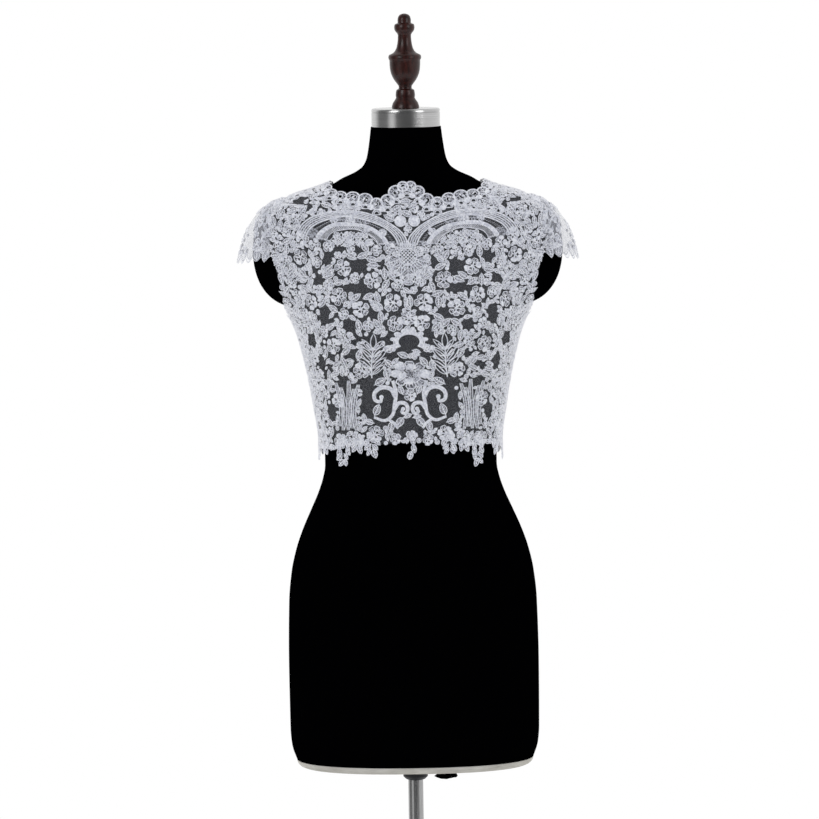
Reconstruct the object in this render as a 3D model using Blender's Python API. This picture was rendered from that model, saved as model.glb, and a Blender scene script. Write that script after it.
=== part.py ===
"""A cropped lace bridal jacket with cap sleeves, worn by a black limbless dress form on a pole stand.

Sizes are in millimetres and become metres when a mesh is made. +Z is up, the front faces -Y, and
left and right are the wearer's, so left is +X. The origin is under the middle of the stand's base.
"""

import math
from collections import namedtuple

import bmesh
import bpy
import numpy as np
from mathutils import Vector
from mathutils.geometry import delaunay_2d_cdt

MM = 0.001
SEAM = 0.3

# Stand
BASE_RADIUS = 190.0
BASE_THICKNESS = 12.0
BOSS_RADIUS = 24.0
BOSS_TOP = 44.0
POLE_RADIUS = 10.0
COLLAR_RADIUS = 16.3
COLLAR_BOTTOM = 620.0
COLLAR_CHAMFER = 3.5

# Dress form
FORM_BOTTOM = 640.0
BAND_TOP = 650.0
NECK_TOP = 1486.0
CAP_RADIUS = 45.0
CAP_TOP = 1510.0
CAP_ROUND = 2.5
BUST_RISE = 15.0
BUST_ANGLE = math.radians(38)
BUST_ANGLE_SPREAD = math.radians(24)
BUST_HEIGHT = 1222.0
BUST_HEIGHT_SPREAD = 52.0
STUB_REACH = 40.0
STUB_ANGLE_SPREAD = math.radians(30)
STUB_HEIGHT = 1313.0
STUB_BELOW = 60.0
STUB_ABOVE = 70.0
STUB_FULLNESS = 0.5
STUB_ROUNDNESS = 0.6

# Cloth
CLOTH_WALL = 1.5
FLOWER_RELIEF = 1.2
BRIDGE_LOW = 1234.0
BRIDGE_HIGH = 1288.0
UNDERARM = 1238.0
SHOULDER_TIP = 1391.0
SHOULDER_NECK = 1413.0
SLEEVE_LOW = 1328.0
SLEEVE_EDGE_HEIGHT = 1320.0
SLEEVE_REACH = 222.0
SLEEVE_CENTRE = 180.0
SLEEVE_HALF_DEPTH = 43.5
SLEEVE_FULLNESS = 0.75
SLEEVE_SLOPE = 0.07
SEAM_ROUNDNESS = 2.2
SCALLOP_RADIUS = 8.0
SCALLOP_HOLE = 3.1

# Gaps in the lace
GAP_SIDES = 6
GAP_TWIST = 0.37
GAP_UNEVENNESS = 0.15
GAP_WAVE = 2.3
GAP_CLEARANCE = 4.0
EDGE_CLEARANCE = 4.5
SMALL_GAP = (7.0, 8.0)
GAP_PITCH = 46.0
FILL_PITCH = 30.0

FormRow = namedtuple("FormRow", "height half_width front back squareness")
FORM = (
    FormRow(650.0, 157.0, 99.0, 105.0, 2.3),
    FormRow(668.0, 163.0, 103.0, 110.0, 2.3),
    FormRow(690.0, 165.0, 105.0, 114.0, 2.3),
    FormRow(780.0, 165.6, 107.0, 120.0, 2.3),
    FormRow(860.0, 164.0, 104.0, 117.0, 2.3),
    FormRow(900.0, 160.0, 101.0, 110.0, 2.3),
    FormRow(930.0, 153.2, 97.0, 100.0, 2.25),
    FormRow(955.0, 144.5, 93.0, 91.0, 2.25),
    FormRow(980.0, 133.6, 89.0, 82.0, 2.2),
    FormRow(1003.0, 123.4, 86.0, 76.0, 2.2),
    FormRow(1023.0, 116.6, 84.0, 73.0, 2.2),
    FormRow(1040.0, 113.4, 83.0, 72.0, 2.2),
    FormRow(1070.0, 113.4, 84.5, 73.0, 2.2),
    FormRow(1125.0, 121.6, 92.0, 80.0, 2.2),
    FormRow(1173.0, 131.5, 100.0, 87.0, 2.2),
    FormRow(1213.0, 142.5, 106.0, 92.0, 2.2),
    FormRow(1245.0, 154.0, 107.0, 95.0, 2.25),
    FormRow(1275.0, 160.0, 104.0, 98.0, 2.3),
    FormRow(1310.0, 163.0, 96.0, 99.0, 2.35),
    FormRow(1345.0, 166.0, 86.0, 97.0, 2.4),
    FormRow(1375.0, 166.0, 75.0, 90.0, 2.4),
    FormRow(1391.0, 153.0, 67.0, 82.0, 2.4),
    FormRow(1403.0, 118.0, 60.0, 75.0, 2.3),
    FormRow(1411.0, 98.5, 56.5, 70.0, 2.2),
    FormRow(1419.0, 85.0, 53.5, 66.0, 2.2),
    FormRow(1427.0, 67.5, 51.0, 62.0, 2.15),
    FormRow(1435.0, 57.0, 49.5, 59.0, 2.1),
    FormRow(1446.0, 52.0, 48.0, 55.0, 2.05),
    FormRow(1466.0, 48.5, 46.5, 50.0, 2.0),
    FormRow(1486.0, 46.0, 45.5, 46.5, 2.0),
)

EaseRow = namedtuple("EaseRow", "height side front back")
EASE = (
    EaseRow(1040.0, 7.4, 7.0, 7.0),
    EaseRow(1125.0, 5.4, 6.0, 5.5),
    EaseRow(1180.0, 4.0, 4.5, 4.0),
    EaseRow(1225.0, 3.0, 2.8, 3.2),
    EaseRow(1350.0, 3.0, 2.8, 3.2),
    EaseRow(1390.0, 5.0, 4.2, 5.2),
    EaseRow(1420.0, 3.6, 3.0, 3.2),
)

# How far the armholes cut in from the side line
ArmholeRow = namedtuple("ArmholeRow", "height degrees")
ARMHOLE = (
    ArmholeRow(UNDERARM, 0.0),
    ArmholeRow(1239.5, 4.5),
    ArmholeRow(1245.0, 9.5),
    ArmholeRow(1257.0, 14.0),
    ArmholeRow(1280.0, 17.0),
    ArmholeRow(1304.0, 15.5),
    ArmholeRow(1330.0, 14.0),
    ArmholeRow(1360.0, 11.8),
    ArmholeRow(1378.0, 8.4),
    ArmholeRow(1388.0, 4.2),
    ArmholeRow(SHOULDER_TIP, 0.0),
)

# Tops of the neck scallops, by angle from the centre front
NeckRow = namedtuple("NeckRow", "degrees height")
FRONT_NECK = (
    NeckRow(0.0, 1417.0),
    NeckRow(8.0, 1415.0),
    NeckRow(15.0, 1408.0),
    NeckRow(22.0, 1397.0),
    NeckRow(28.0, 1392.0),
    NeckRow(36.0, 1396.0),
    NeckRow(48.0, 1400.0),
    NeckRow(62.0, 1401.0),
    NeckRow(76.0, 1407.0),
    NeckRow(90.0, SHOULDER_NECK),
)
BACK_NECK = (
    NeckRow(90.0, SHOULDER_NECK),
    NeckRow(110.0, 1407.0),
    NeckRow(140.0, 1391.0),
    NeckRow(180.0, 1382.0),
)
HemRow = namedtuple("HemRow", "degrees height")
HEM = (HemRow(0.0, 1080.0), HemRow(90.0, 1069.0), HemRow(180.0, 1067.0))

# Large gaps between motifs on one half of the front; a tilt turns the top outwards
GapRow = namedtuple("GapRow", "across height width length tilt")
CENTRE_GAPS = (GapRow(0.0, 1212.0, 16.0, 13.0, 0.0), GapRow(0.0, 1098.0, 36.0, 25.0, 0.0))
SIDE_GAPS = (
    GapRow(25.0, 1206.0, 15.0, 36.0, 4.0),
    GapRow(36.0, 1136.0, 16.0, 24.0, 12.0),
    GapRow(57.0, 1131.0, 14.0, 36.0, -8.0),
    GapRow(14.0, 1128.0, 9.0, 13.0, 20.0),
    GapRow(126.0, 1213.0, 17.0, 19.0, 30.0),
    GapRow(114.0, 1184.0, 11.0, 24.0, 0.0),
    GapRow(102.0, 1117.0, 13.0, 20.0, 0.0),
    GapRow(110.0, 1246.0, 16.0, 24.0, -10.0),
    GapRow(77.0, 1234.0, 17.0, 13.0, 0.0),
    GapRow(64.0, 1279.0, 27.0, 10.0, -8.0),
    GapRow(116.0, 1290.0, 17.0, 11.0, 20.0),
    GapRow(62.0, 1309.0, 17.0, 16.0, 20.0),
    GapRow(104.0, 1318.0, 13.0, 15.0, 0.0),
    GapRow(33.0, 1311.0, 10.0, 10.0, 0.0),
    GapRow(46.0, 1248.0, 13.0, 8.0, 30.0),
    GapRow(88.0, 1159.0, 9.0, 14.0, 10.0),
    GapRow(75.0, 1196.0, 9.0, 12.0, -20.0),
    GapRow(38.0, 1106.0, 8.0, 9.0, 0.0),
    GapRow(76.0, 1101.0, 9.0, 11.0, 0.0),
    GapRow(112.0, 1356.0, 12.0, 9.0, -30.0),
    GapRow(128.0, 1382.0, 13.0, 8.0, -30.0),
)

# Banded arches over the bust: a pair of slits in each band of each arch
ARCH_ACROSS = 72.0
ARCH_HEIGHT = 1337.0
ARCH_HALF_SPAN = 54.0
ARCH_RISE = 30.0
ARCH_SLIT = 4.6
ArchRow = namedtuple("ArchRow", "scale start end")
ARCH_SLITS = (
    ArchRow(0.98, 18.0, 68.0),
    ArchRow(0.98, 100.0, 150.0),
    ArchRow(0.70, 20.0, 72.0),
    ArchRow(0.70, 98.0, 146.0),
)
ARCH_STEPS = 3

FlowerRow = namedtuple("FlowerRow", "across height diameter")
FLOWERS = (
    FlowerRow(0.0, 1322.0, 34.0),
    FlowerRow(0.0, 1168.0, 40.0),
    FlowerRow(84.0, 1306.0, 24.0),
    FlowerRow(46.0, 1290.0, 24.0),
    FlowerRow(90.0, 1270.0, 24.0),
    FlowerRow(20.0, 1262.0, 26.0),
    FlowerRow(62.0, 1254.0, 24.0),
    FlowerRow(18.0, 1236.0, 22.0),
    FlowerRow(98.0, 1208.0, 24.0),
    FlowerRow(62.0, 1176.0, 24.0),
    FlowerRow(94.0, 1134.0, 22.0),
    FlowerRow(46.0, 1090.0, 24.0),
    FlowerRow(92.0, 1080.0, 22.0),
    FlowerRow(126.0, 1262.0, 22.0),
    FlowerRow(140.0, 1320.0, 22.0),
    FlowerRow(132.0, 1152.0, 20.0),
)
PETALS = 5

# Leaf tips that hang below the net
TipRow = namedtuple("TipRow", "across drop width")
FRONT_TIPS = (
    TipRow(2.0, 22.0, 14.0),
    TipRow(52.0, 17.0, 18.0),
    TipRow(73.0, 11.0, 16.0),
    TipRow(93.0, 30.0, 20.0),
    TipRow(130.0, 14.0, 18.0),
    TipRow(158.0, 24.0, 18.0),
)
BACK_TIPS = (
    TipRow(20.0, 14.0, 18.0),
    TipRow(50.0, 24.0, 20.0),
    TipRow(80.0, 12.0, 18.0),
    TipRow(110.0, 26.0, 20.0),
    TipRow(140.0, 15.0, 18.0),
)

BUTTON_COUNT = 8
BUTTON_RADIUS = 5.0
BUTTON_HEIGHT = 4.0
BUTTON_ACROSS = 7.0
BUTTON_SEAT = 0.6
BUTTON_TOP = 1366.0
BUTTON_BOTTOM = 1084.0

DomeRow = namedtuple("DomeRow", "height radius")
BUTTON_PROFILE = (
    DomeRow(1.0, 0.0),
    DomeRow(0.82, 0.62),
    DomeRow(0.36, 1.0),
    DomeRow(0.0, 0.8),
    DomeRow(0.0, 0.0),
)

# Reach of the panels' layout
PANEL_TURN = math.radians(112)
SHOULDER_TURN = math.radians(82)
PANEL_LOW = 1030.0
PANEL_HIGH = 1430.0

# Mesh steps
FORM_STEPS = 32
TURN_STEPS = 24
SIDE_ROWS = 6
ARMHOLE_ROWS = 5
SHOULDER_ROWS = 3
SEAM_STEPS = (1.0, 0.8, 0.6, 0.4, 0.2)

# The same on one half of the back, which is hidden
BACK_GAPS = (
    GapRow(44.0, 1340.0, 14.0, 18.0, 20.0),
    GapRow(92.0, 1352.0, 16.0, 12.0, -20.0),
    GapRow(68.0, 1306.0, 12.0, 20.0, 0.0),
    GapRow(112.0, 1300.0, 16.0, 16.0, 30.0),
    GapRow(40.0, 1272.0, 16.0, 14.0, -20.0),
    GapRow(88.0, 1256.0, 14.0, 20.0, 10.0),
    GapRow(130.0, 1236.0, 14.0, 18.0, 0.0),
    GapRow(54.0, 1222.0, 14.0, 22.0, -10.0),
    GapRow(100.0, 1198.0, 16.0, 16.0, 20.0),
    GapRow(38.0, 1170.0, 15.0, 15.0, 0.0),
    GapRow(74.0, 1150.0, 13.0, 24.0, 8.0),
    GapRow(118.0, 1142.0, 14.0, 18.0, -8.0),
    GapRow(48.0, 1112.0, 16.0, 18.0, 0.0),
    GapRow(94.0, 1102.0, 14.0, 18.0, 20.0),
)
BACK_FLOWERS = (
    FlowerRow(66.0, 1344.0, 24.0),
    FlowerRow(92.0, 1322.0, 24.0),
    FlowerRow(46.0, 1304.0, 22.0),
    FlowerRow(64.0, 1276.0, 22.0),
    FlowerRow(112.0, 1266.0, 24.0),
    FlowerRow(62.0, 1248.0, 20.0),
    FlowerRow(78.0, 1222.0, 24.0),
    FlowerRow(36.0, 1200.0, 22.0),
    FlowerRow(72.0, 1184.0, 22.0),
    FlowerRow(124.0, 1184.0, 22.0),
    FlowerRow(54.0, 1140.0, 22.0),
    FlowerRow(98.0, 1138.0, 22.0),
    FlowerRow(72.0, 1100.0, 24.0),
    FlowerRow(120.0, 1100.0, 22.0),
)

# Places on a sleeve, in percent along its seam from the top and down from the seam
SLEEVE_GAPS = (
    GapRow(0.0, 30.0, 13.0, 12.0, 0.0),
    GapRow(0.0, 66.0, 12.0, 13.0, 0.0),
    GapRow(24.0, 48.0, 11.0, 12.0, 0.0),
    GapRow(44.0, 28.0, 8.0, 9.0, 0.0),
    GapRow(46.0, 66.0, 8.0, 9.0, 0.0),
    GapRow(22.0, 80.0, 8.0, 8.0, 0.0),
    GapRow(66.0, 50.0, 7.0, 7.0, 0.0),
)
SLEEVE_FLOWERS = (
    FlowerRow(0.0, 48.0, 16.0),
    FlowerRow(22.0, 24.0, 18.0),
    FlowerRow(34.0, 64.0, 16.0),
    FlowerRow(12.0, 86.0, 14.0),
)
SLEEVE_LOBES = 11
SLEEVE_LOBE = 7.0
SLEEVE_SEAM_MARGIN = 1.0

# Finer layout of the lace
LACE_BELOW_HEM = 2.0
LeafPoint = namedtuple("LeafPoint", "share depth")
LEAF_TIP = (
    LeafPoint(-0.5, 0.0),
    LeafPoint(-0.46, 0.4),
    LeafPoint(-0.22, 0.8),
    LeafPoint(0.0, 1.0),
    LeafPoint(0.22, 0.8),
    LeafPoint(0.46, 0.4),
    LeafPoint(0.5, 0.0),
)
SCALLOP_SHARES = (0.0, 0.2, 0.5, 0.8)
SCALLOP_BLUNTNESS = 0.7
SCALLOP_CLEARANCE = 1.2
FRONT_SCALLOPS = 19
BACK_SCALLOPS = 9
BACK_EDGE = SEAM / 2
BACK_NECK_END = math.radians(0.2)
CENTRE_ROWS = 14
PLACKET = 20.0
POINT_CLEARANCE = 2.6
FILL_CLEARANCE = 11.0
SHOULDER_PITCH = 13.0
SHOULDER_FILL = 1368.0
SHOULDER_CLEARANCE = 6.0
ROW_SHARE = 0.87

BandRow = namedtuple("BandRow", "height inset")
BAND = (
    BandRow(BAND_TOP - SEAM, 0.0),
    BandRow(645.5, 1.2),
    BandRow(642.0, 4.5),
    BandRow(640.4, 9.0),
    BandRow(FORM_BOTTOM, 14.0),
)
STAND_BASE = (
    (0.0, BOSS_TOP),
    (BOSS_RADIUS - 3.0, BOSS_TOP),
    (BOSS_RADIUS, BOSS_TOP - 3.0),
    (BOSS_RADIUS, BASE_THICKNESS + 8.0),
    (BOSS_RADIUS + 8.0, BASE_THICKNESS),
    (BASE_RADIUS - 8.0, BASE_THICKNESS),
    (BASE_RADIUS - 2.0, BASE_THICKNESS - 3.0),
    (BASE_RADIUS, BASE_THICKNESS - 7.0),
    (BASE_RADIUS, 0.0),
    (0.0, 0.0),
)
STUB_LEVELS = (1253.5, 1256.5, 1262.0, 1267.0, 1286.0, 1328.0, 1360.0, 1383.0, 1397.0)
FORM_WIDENESS = 1.5
BASE_STEPS = 32
BUTTON_STEPS = 10
FINIAL_STEPS = 16
TAIL_SIZE = (29.0, 12.0, 10.0)
TAIL_SIDE = 41.0
TAIL_FRONT = 62.0
TAIL_DENT = 0.18
TAIL_CRUMPLE = 4.0

FinialRow = namedtuple("FinialRow", "height radius")
FINIAL = (
    FinialRow(1634.0, 0.0),
    FinialRow(1632.5, 5.5),
    FinialRow(1628.0, 8.4),
    FinialRow(1622.5, 8.6),
    FinialRow(1620.0, 12.4),
    FinialRow(1615.5, 13.4),
    FinialRow(1610.5, 11.8),
    FinialRow(1606.0, 8.6),
    FinialRow(1594.0, 9.6),
    FinialRow(1585.0, 12.8),
    FinialRow(1580.0, 20.4),
    FinialRow(1576.5, 21.6),
    FinialRow(1573.0, 20.2),
    FinialRow(1561.0, 19.6),
    FinialRow(1551.0, 16.6),
    FinialRow(1543.0, 11.4),
    FinialRow(1537.0, 8.4),
    FinialRow(1534.0, 11.6),
    FinialRow(1528.5, 12.6),
    FinialRow(1524.0, 12.2),
    FinialRow(1517.0, 16.6),
    FinialRow(CAP_TOP + SEAM, 18.0),
    FinialRow(CAP_TOP + SEAM, 0.0),
)


def clear_scene():
    for item in list(bpy.data.objects):
        bpy.data.objects.remove(item, do_unlink=True)


def make_material(name, colour, roughness, metallic=0.0):
    material = bpy.data.materials.new(name)
    material.use_nodes = True
    shader = material.node_tree.nodes["Principled BSDF"]
    shader.inputs["Base Color"].default_value = (*colour, 1.0)
    shader.inputs["Roughness"].default_value = roughness
    shader.inputs["Metallic"].default_value = metallic
    return material


def add_object(name, mesh, material, smooth=True):
    mesh.materials.append(material)
    if smooth:
        mesh.shade_smooth()
    item = bpy.data.objects.new(name, mesh)
    bpy.context.scene.collection.objects.link(item)
    return item


def smooth_curve(places, values):
    """A curve through the values that keeps their rises and falls, with no overshoot."""
    places = np.asarray(places, float)
    values = np.asarray(values, float)
    steps = np.diff(places)
    slopes = np.diff(values) / steps
    tangents = np.zeros_like(values)
    product = slopes[:-1] * slopes[1:]
    same = product > 0
    tangents[1:-1][same] = 2 * product[same] / (slopes[:-1] + slopes[1:])[same]
    tangents[0] = slopes[0]
    tangents[-1] = slopes[-1]

    def value(place):
        place = np.clip(place, places[0], places[-1])
        index = np.clip(np.searchsorted(places, place, side="right") - 1, 0, len(steps) - 1)
        t = (place - places[index]) / steps[index]
        start = (1 + 2 * t) * (1 - t) ** 2 * values[index]
        leave = t * (1 - t) ** 2 * steps[index] * tangents[index]
        end = t * t * (3 - 2 * t) * values[index + 1]
        reach = t * t * (t - 1) * steps[index] * tangents[index + 1]
        return start + leave + end + reach

    return value


def column(rows, place, name):
    return smooth_curve([getattr(row, place) for row in rows], [getattr(row, name) for row in rows])


form_half_width = column(FORM, "height", "half_width")
form_front = column(FORM, "height", "front")
form_back = column(FORM, "height", "back")
form_squareness = column(FORM, "height", "squareness")
ease_side = column(EASE, "height", "side")
ease_front = column(EASE, "height", "front")
ease_back = column(EASE, "height", "back")
front_neck = column(FRONT_NECK, "degrees", "height")
back_neck = column(BACK_NECK, "degrees", "height")
hem_line = column(HEM, "degrees", "height")
armhole_degrees = column(ARMHOLE, "height", "degrees")


def smooth_step(t):
    t = np.clip(t, 0.0, 1.0)
    return t * t * (3 - 2 * t)


def stub_rise(height):
    """The arm stub's profile, round below and running out into the shoulder above."""
    below = (height - STUB_HEIGHT) / STUB_BELOW
    above = (height - STUB_HEIGHT) / STUB_ABOVE
    place = np.where(height < STUB_HEIGHT, below, above)
    roundness = np.where(height < STUB_HEIGHT, STUB_FULLNESS, STUB_ROUNDNESS)
    return np.clip(1 - place**2, 0.0, 1.0) ** roundness


def bridge_rise(height):
    """The same for the cloth, which spans the crease under the stub."""
    ramp = smooth_step((height - BRIDGE_LOW) / (BRIDGE_HIGH - BRIDGE_LOW))
    return np.where(height < STUB_HEIGHT, ramp, stub_rise(height))


def form_radius(angle, height, rise=stub_rise):
    """Distance from the form's axis to its surface; the angle runs from the centre front."""
    side = np.abs(np.sin(angle)) / form_half_width(height)
    depth = np.where(np.cos(angle) > 0, form_front(height), form_back(height))
    ahead = np.abs(np.cos(angle)) / depth
    power = form_squareness(height)
    section = (side**power + ahead**power) ** (-1 / power)
    turn = (np.abs(angle) - BUST_ANGLE) / BUST_ANGLE_SPREAD
    lift = (height - BUST_HEIGHT) / BUST_HEIGHT_SPREAD
    bust = BUST_RISE * np.exp(-(turn**2) - lift**2)
    spread = 1 - np.abs(np.abs(angle) - math.pi / 2) / STUB_ANGLE_SPREAD
    return section + bust + STUB_REACH * rise(height) * smooth_step(spread)


def round_point(angle, height, radius):
    return np.stack((radius * np.sin(angle), -radius * np.cos(angle), height + 0 * angle), axis=-1)


def cloth_base(angle, height):
    return round_point(angle, height, form_radius(angle, height, bridge_rise))


def unit(vectors):
    return vectors / np.linalg.norm(vectors, axis=-1, keepdims=True)


def cloth_point(angle, height, lift):
    """A point of the jacket over the form, lifted from the cloth's inner face."""
    angle = np.asarray(angle, float)
    height = np.asarray(height, float)
    turn, rise = 0.004, 0.6
    along = cloth_base(angle + turn, height) - cloth_base(angle - turn, height)
    upward = cloth_base(angle, height + rise) - cloth_base(angle, height - rise)
    normal = unit(np.cross(along, upward))
    ahead = np.cos(angle) ** 2
    facing = np.where(np.cos(angle) > 0, ease_front(height), ease_back(height))
    ease = ahead * facing + (1 - ahead) * ease_side(height)
    return cloth_base(angle, height) + normal * (ease + lift)[..., None]


class Panel:
    """A bodice panel laid out by the distance along the cloth from its centre line, and by height."""

    def __init__(self, centre):
        self.centre = centre
        self.turns = np.linspace(0.0, PANEL_TURN, 121)
        self.levels = np.linspace(PANEL_LOW, PANEL_HIGH, 201)
        angles, heights = np.meshgrid(centre - self.turns, self.levels)
        way = cloth_point(angles, heights, CLOTH_WALL / 2)
        steps = np.linalg.norm(np.diff(way, axis=1), axis=2)
        self.lengths = np.concatenate((np.zeros((len(self.levels), 1)), np.cumsum(steps, axis=1)), axis=1)
        self.reaches = np.maximum.accumulate(np.abs(way[..., 0]), axis=1)

    def row(self, table, height):
        place = np.interp(height, self.levels, np.arange(len(self.levels)))
        low = min(int(place), len(self.levels) - 2)
        return table[low] + (table[low + 1] - table[low]) * (place - low)

    def angle(self, across, height):
        found = []
        for distance, level in zip(across, height):
            turn = np.interp(abs(distance), self.row(self.lengths, level), self.turns)
            found.append(math.copysign(abs(self.centre - turn), distance))
        return np.array(found)

    def across(self, turn, height):
        """The distance along the cloth from the centre line to an angle from that line."""
        return float(np.interp(turn, self.turns, self.row(self.lengths, height)))

    def across_of(self, sideways, height):
        """The same for a distance from the middle plane, as seen from the front."""
        turn = np.interp(abs(sideways), self.row(self.reaches, height), self.turns)
        return math.copysign(self.across(turn, height), sideways)

    def spot(self, points, lift):
        points = np.asarray(points, float)
        return cloth_point(self.angle(points[:, 0], points[:, 1]), points[:, 1], lift)

    def steepness(self, height):
        """Millimetres of cloth for one of height near the side, where the shoulder lies flattest."""
        levels = np.array((height - 0.5, height + 0.5))
        return np.linalg.norm(np.diff(cloth_point(np.full(2, SHOULDER_TURN), levels, 0.0 * levels), axis=0))


class Sleeve:
    """A cap sleeve laid out along its seam and from the seam to its edge, in percent of each."""

    def __init__(self, side):
        self.side = side

    def steepness(self, down):
        return 1.0

    def seam(self, along):
        """The armhole's edge and the cloth's outward direction there, front to back."""
        height = seam_height(along)
        angle = math.pi / 2 + np.sign(along) * armhole_depth(height)
        start = cloth_point(angle, height, 0.0 * height)
        return start, cloth_point(angle, height, 1.0 + 0.0 * height) - start

    def skin(self, along, down):
        start, _ = self.seam(along)
        turn = along * math.pi / 2
        end = np.stack(
            (
                SLEEVE_CENTRE + (SLEEVE_REACH - SLEEVE_CENTRE) * np.cos(turn),
                SLEEVE_HALF_DEPTH * np.sin(turn),
                SLEEVE_EDGE_HEIGHT + 0 * turn,
            ),
            axis=-1,
        )
        reach = np.array((SLEEVE_FULLNESS, SLEEVE_FULLNESS, SLEEVE_SLOPE))
        bend = start + (end - start) * reach
        start = start + unit(bend - start) * SEAM
        t = down[..., None]
        return (1 - t) ** 2 * start + 2 * t * (1 - t) * bend + t * t * end

    def spot(self, points, lift):
        points = np.asarray(points, float) / 100.0
        along = np.clip(points[:, 0], -1.0, 1.0)
        down = points[:, 1]
        ahead = np.clip(along + 0.02, -1.0, 1.0)
        behind = np.clip(along - 0.02, -1.0, 1.0)
        across = self.skin(ahead, down) - self.skin(behind, down)
        downward = self.skin(along, down + 0.02) - self.skin(along, down - 0.02)
        own = unit(np.cross(downward, across))
        blend = smooth_step(down / 0.4)[:, None]
        normal = unit(self.seam(along)[1] * (1 - blend) + own * blend)
        place = self.skin(along, down) + normal * (np.zeros(len(points)) + lift)[:, None]
        return place * np.array((self.side, 1.0, 1.0))


def armhole_depth(height):
    """How far the armhole cuts in from the side line, as an angle."""
    return np.radians(armhole_degrees(height))


def seam_height(along):
    return SLEEVE_LOW + (SHOULDER_TIP - SLEEVE_LOW) * (1 - np.abs(along) ** SEAM_ROUNDNESS)


def cloth_scale(sheet, spot):
    """Millimetres of cloth for one unit of each of a sheet's two measures."""
    here = np.array(spot, float)
    near = sheet.spot([here + (0.5, 0), here - (0.5, 0), here + (0, 0.5), here - (0, 0.5)], CLOTH_WALL / 2)
    return np.linalg.norm(near[0] - near[1]), np.linalg.norm(near[2] - near[3])


def lay_out(sheet, spot, offsets):
    """Offsets in millimetres along the cloth, as places on a sheet."""
    return np.asarray(spot) + np.asarray(offsets) / np.array(cloth_scale(sheet, spot))


def build_wall(name, sheet, points, faces, lifts, material):
    """A closed wall over a sheet's faces, from a plain inside to an outside that may be raised."""
    inner = sheet.spot(points, 0.0 * lifts)
    outer = sheet.spot(points, CLOTH_WALL + lifts)
    mesh = bmesh.new()
    low = [mesh.verts.new(Vector(point) * MM) for point in inner]
    high = [mesh.verts.new(Vector(point) * MM) for point in outer]
    sides = {}
    for face in faces:
        mesh.faces.new([high[i] for i in face])
        mesh.faces.new([low[i] for i in reversed(face)])
        for a, b in zip(face, (*face[1:], face[0])):
            sides[a, b] = True
    for a, b in sides:
        if (b, a) not in sides:
            mesh.faces.new((high[b], high[a], low[a], low[b]))
    loose = [vert for vert in mesh.verts if not vert.link_faces]
    bmesh.ops.delete(mesh, geom=loose, context="VERTS")
    bmesh.ops.recalc_face_normals(mesh, faces=mesh.faces)
    bmesh.ops.triangulate(mesh, faces=mesh.faces)
    data = bpy.data.meshes.new(name)
    mesh.to_mesh(data)
    mesh.free()
    return add_object(name, data, material)


def side_levels():
    """Heights of a panel's rows at its side seam, armhole and shoulder."""
    hem = float(hem_line(90.0))
    lower = np.linspace(hem, UNDERARM, SIDE_ROWS, endpoint=False)
    armhole = UNDERARM + (SLEEVE_LOW - UNDERARM) * np.linspace(0.0, 1.0, ARMHOLE_ROWS) ** 2
    seam = seam_height(np.array(SEAM_STEPS[1:] + (0.0,)))
    shoulder = np.linspace(SHOULDER_TIP, SHOULDER_NECK - 2.0, SHOULDER_ROWS + 1)[1:]
    return np.concatenate((lower, armhole, seam, shoulder))


def side_turn(height, share):
    """Angle from the centre line at a share of the way to the panel's side edge."""
    limit = math.pi / 2 - armhole_depth(height)
    margin = SEAM / 2 / form_half_width(height)
    return share * (limit - margin)


def side_edge(panel):
    """The panel's edge up its side seam, armhole and shoulder."""
    edge = []
    for level in side_levels():
        turn = float(side_turn(np.array(level), 1.0))
        edge.append((panel.across(turn, level), level))
    return edge


def mirrored(points):
    return [(-across, height) for across, height in reversed(points)]


def hem_edge(panel, tips):
    """The lace's lower edge on one half, from the centre line out, with its hanging leaf tips."""
    edge = []
    side = panel.across(math.pi / 2, float(hem_line(90.0)))
    for tip in tips:
        degrees = abs(math.degrees(panel.centre) - 90.0 * tip.across / side)
        base = float(hem_line(degrees)) - LACE_BELOW_HEM
        for point in LEAF_TIP:
            edge.append((tip.across + point.share * tip.width, base - point.depth * tip.drop))
    return edge


def scallops(panel, line, start, end, count):
    """A scalloped neck edge between two angles from the centre line, and the scallops' middles."""
    turns = np.linspace(start, end, 121)
    way = []
    for turn in turns:
        top = float(line(math.degrees(abs(panel.centre - abs(turn)))))
        way.append((math.copysign(panel.across(abs(turn), top), turn), top))
    way = np.array(way)
    steps = np.linalg.norm(np.diff(panel.spot(way, CLOTH_WALL / 2), axis=0), axis=1)
    length = np.concatenate(([0.0], np.cumsum(steps)))
    edge = []
    middles = []
    for number in range(count):
        for share in SCALLOP_SHARES:
            distance = length[-1] * (number + share) / count
            spot = [np.interp(distance, length, way[:, 0]), np.interp(distance, length, way[:, 1])]
            sink = SCALLOP_RADIUS * (1 - math.sin(math.pi * share) ** SCALLOP_BLUNTNESS)
            edge.append(tuple(lay_out(panel, spot, (0.0, -sink))))
            if share == 0.5:
                middles.append(tuple(lay_out(panel, spot, (0.0, -SCALLOP_RADIUS))))
    return edge, middles


def gap_loop(sheet, spot, width, length, tilt, number):
    """An uneven round gap on a sheet; its number sets how it is uneven."""
    lean = math.radians(tilt)
    offsets = []
    for corner in range(GAP_SIDES):
        turn = math.tau * (corner + GAP_TWIST * number) / GAP_SIDES
        reach = 1 + GAP_UNEVENNESS * math.sin(GAP_WAVE * corner + number)
        x = width / 2 * reach * math.cos(turn)
        z = length / 2 * reach * math.sin(turn)
        offsets.append((x * math.cos(lean) + z * math.sin(lean), z * math.cos(lean) - x * math.sin(lean)))
    return lay_out(sheet, spot, offsets)


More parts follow.
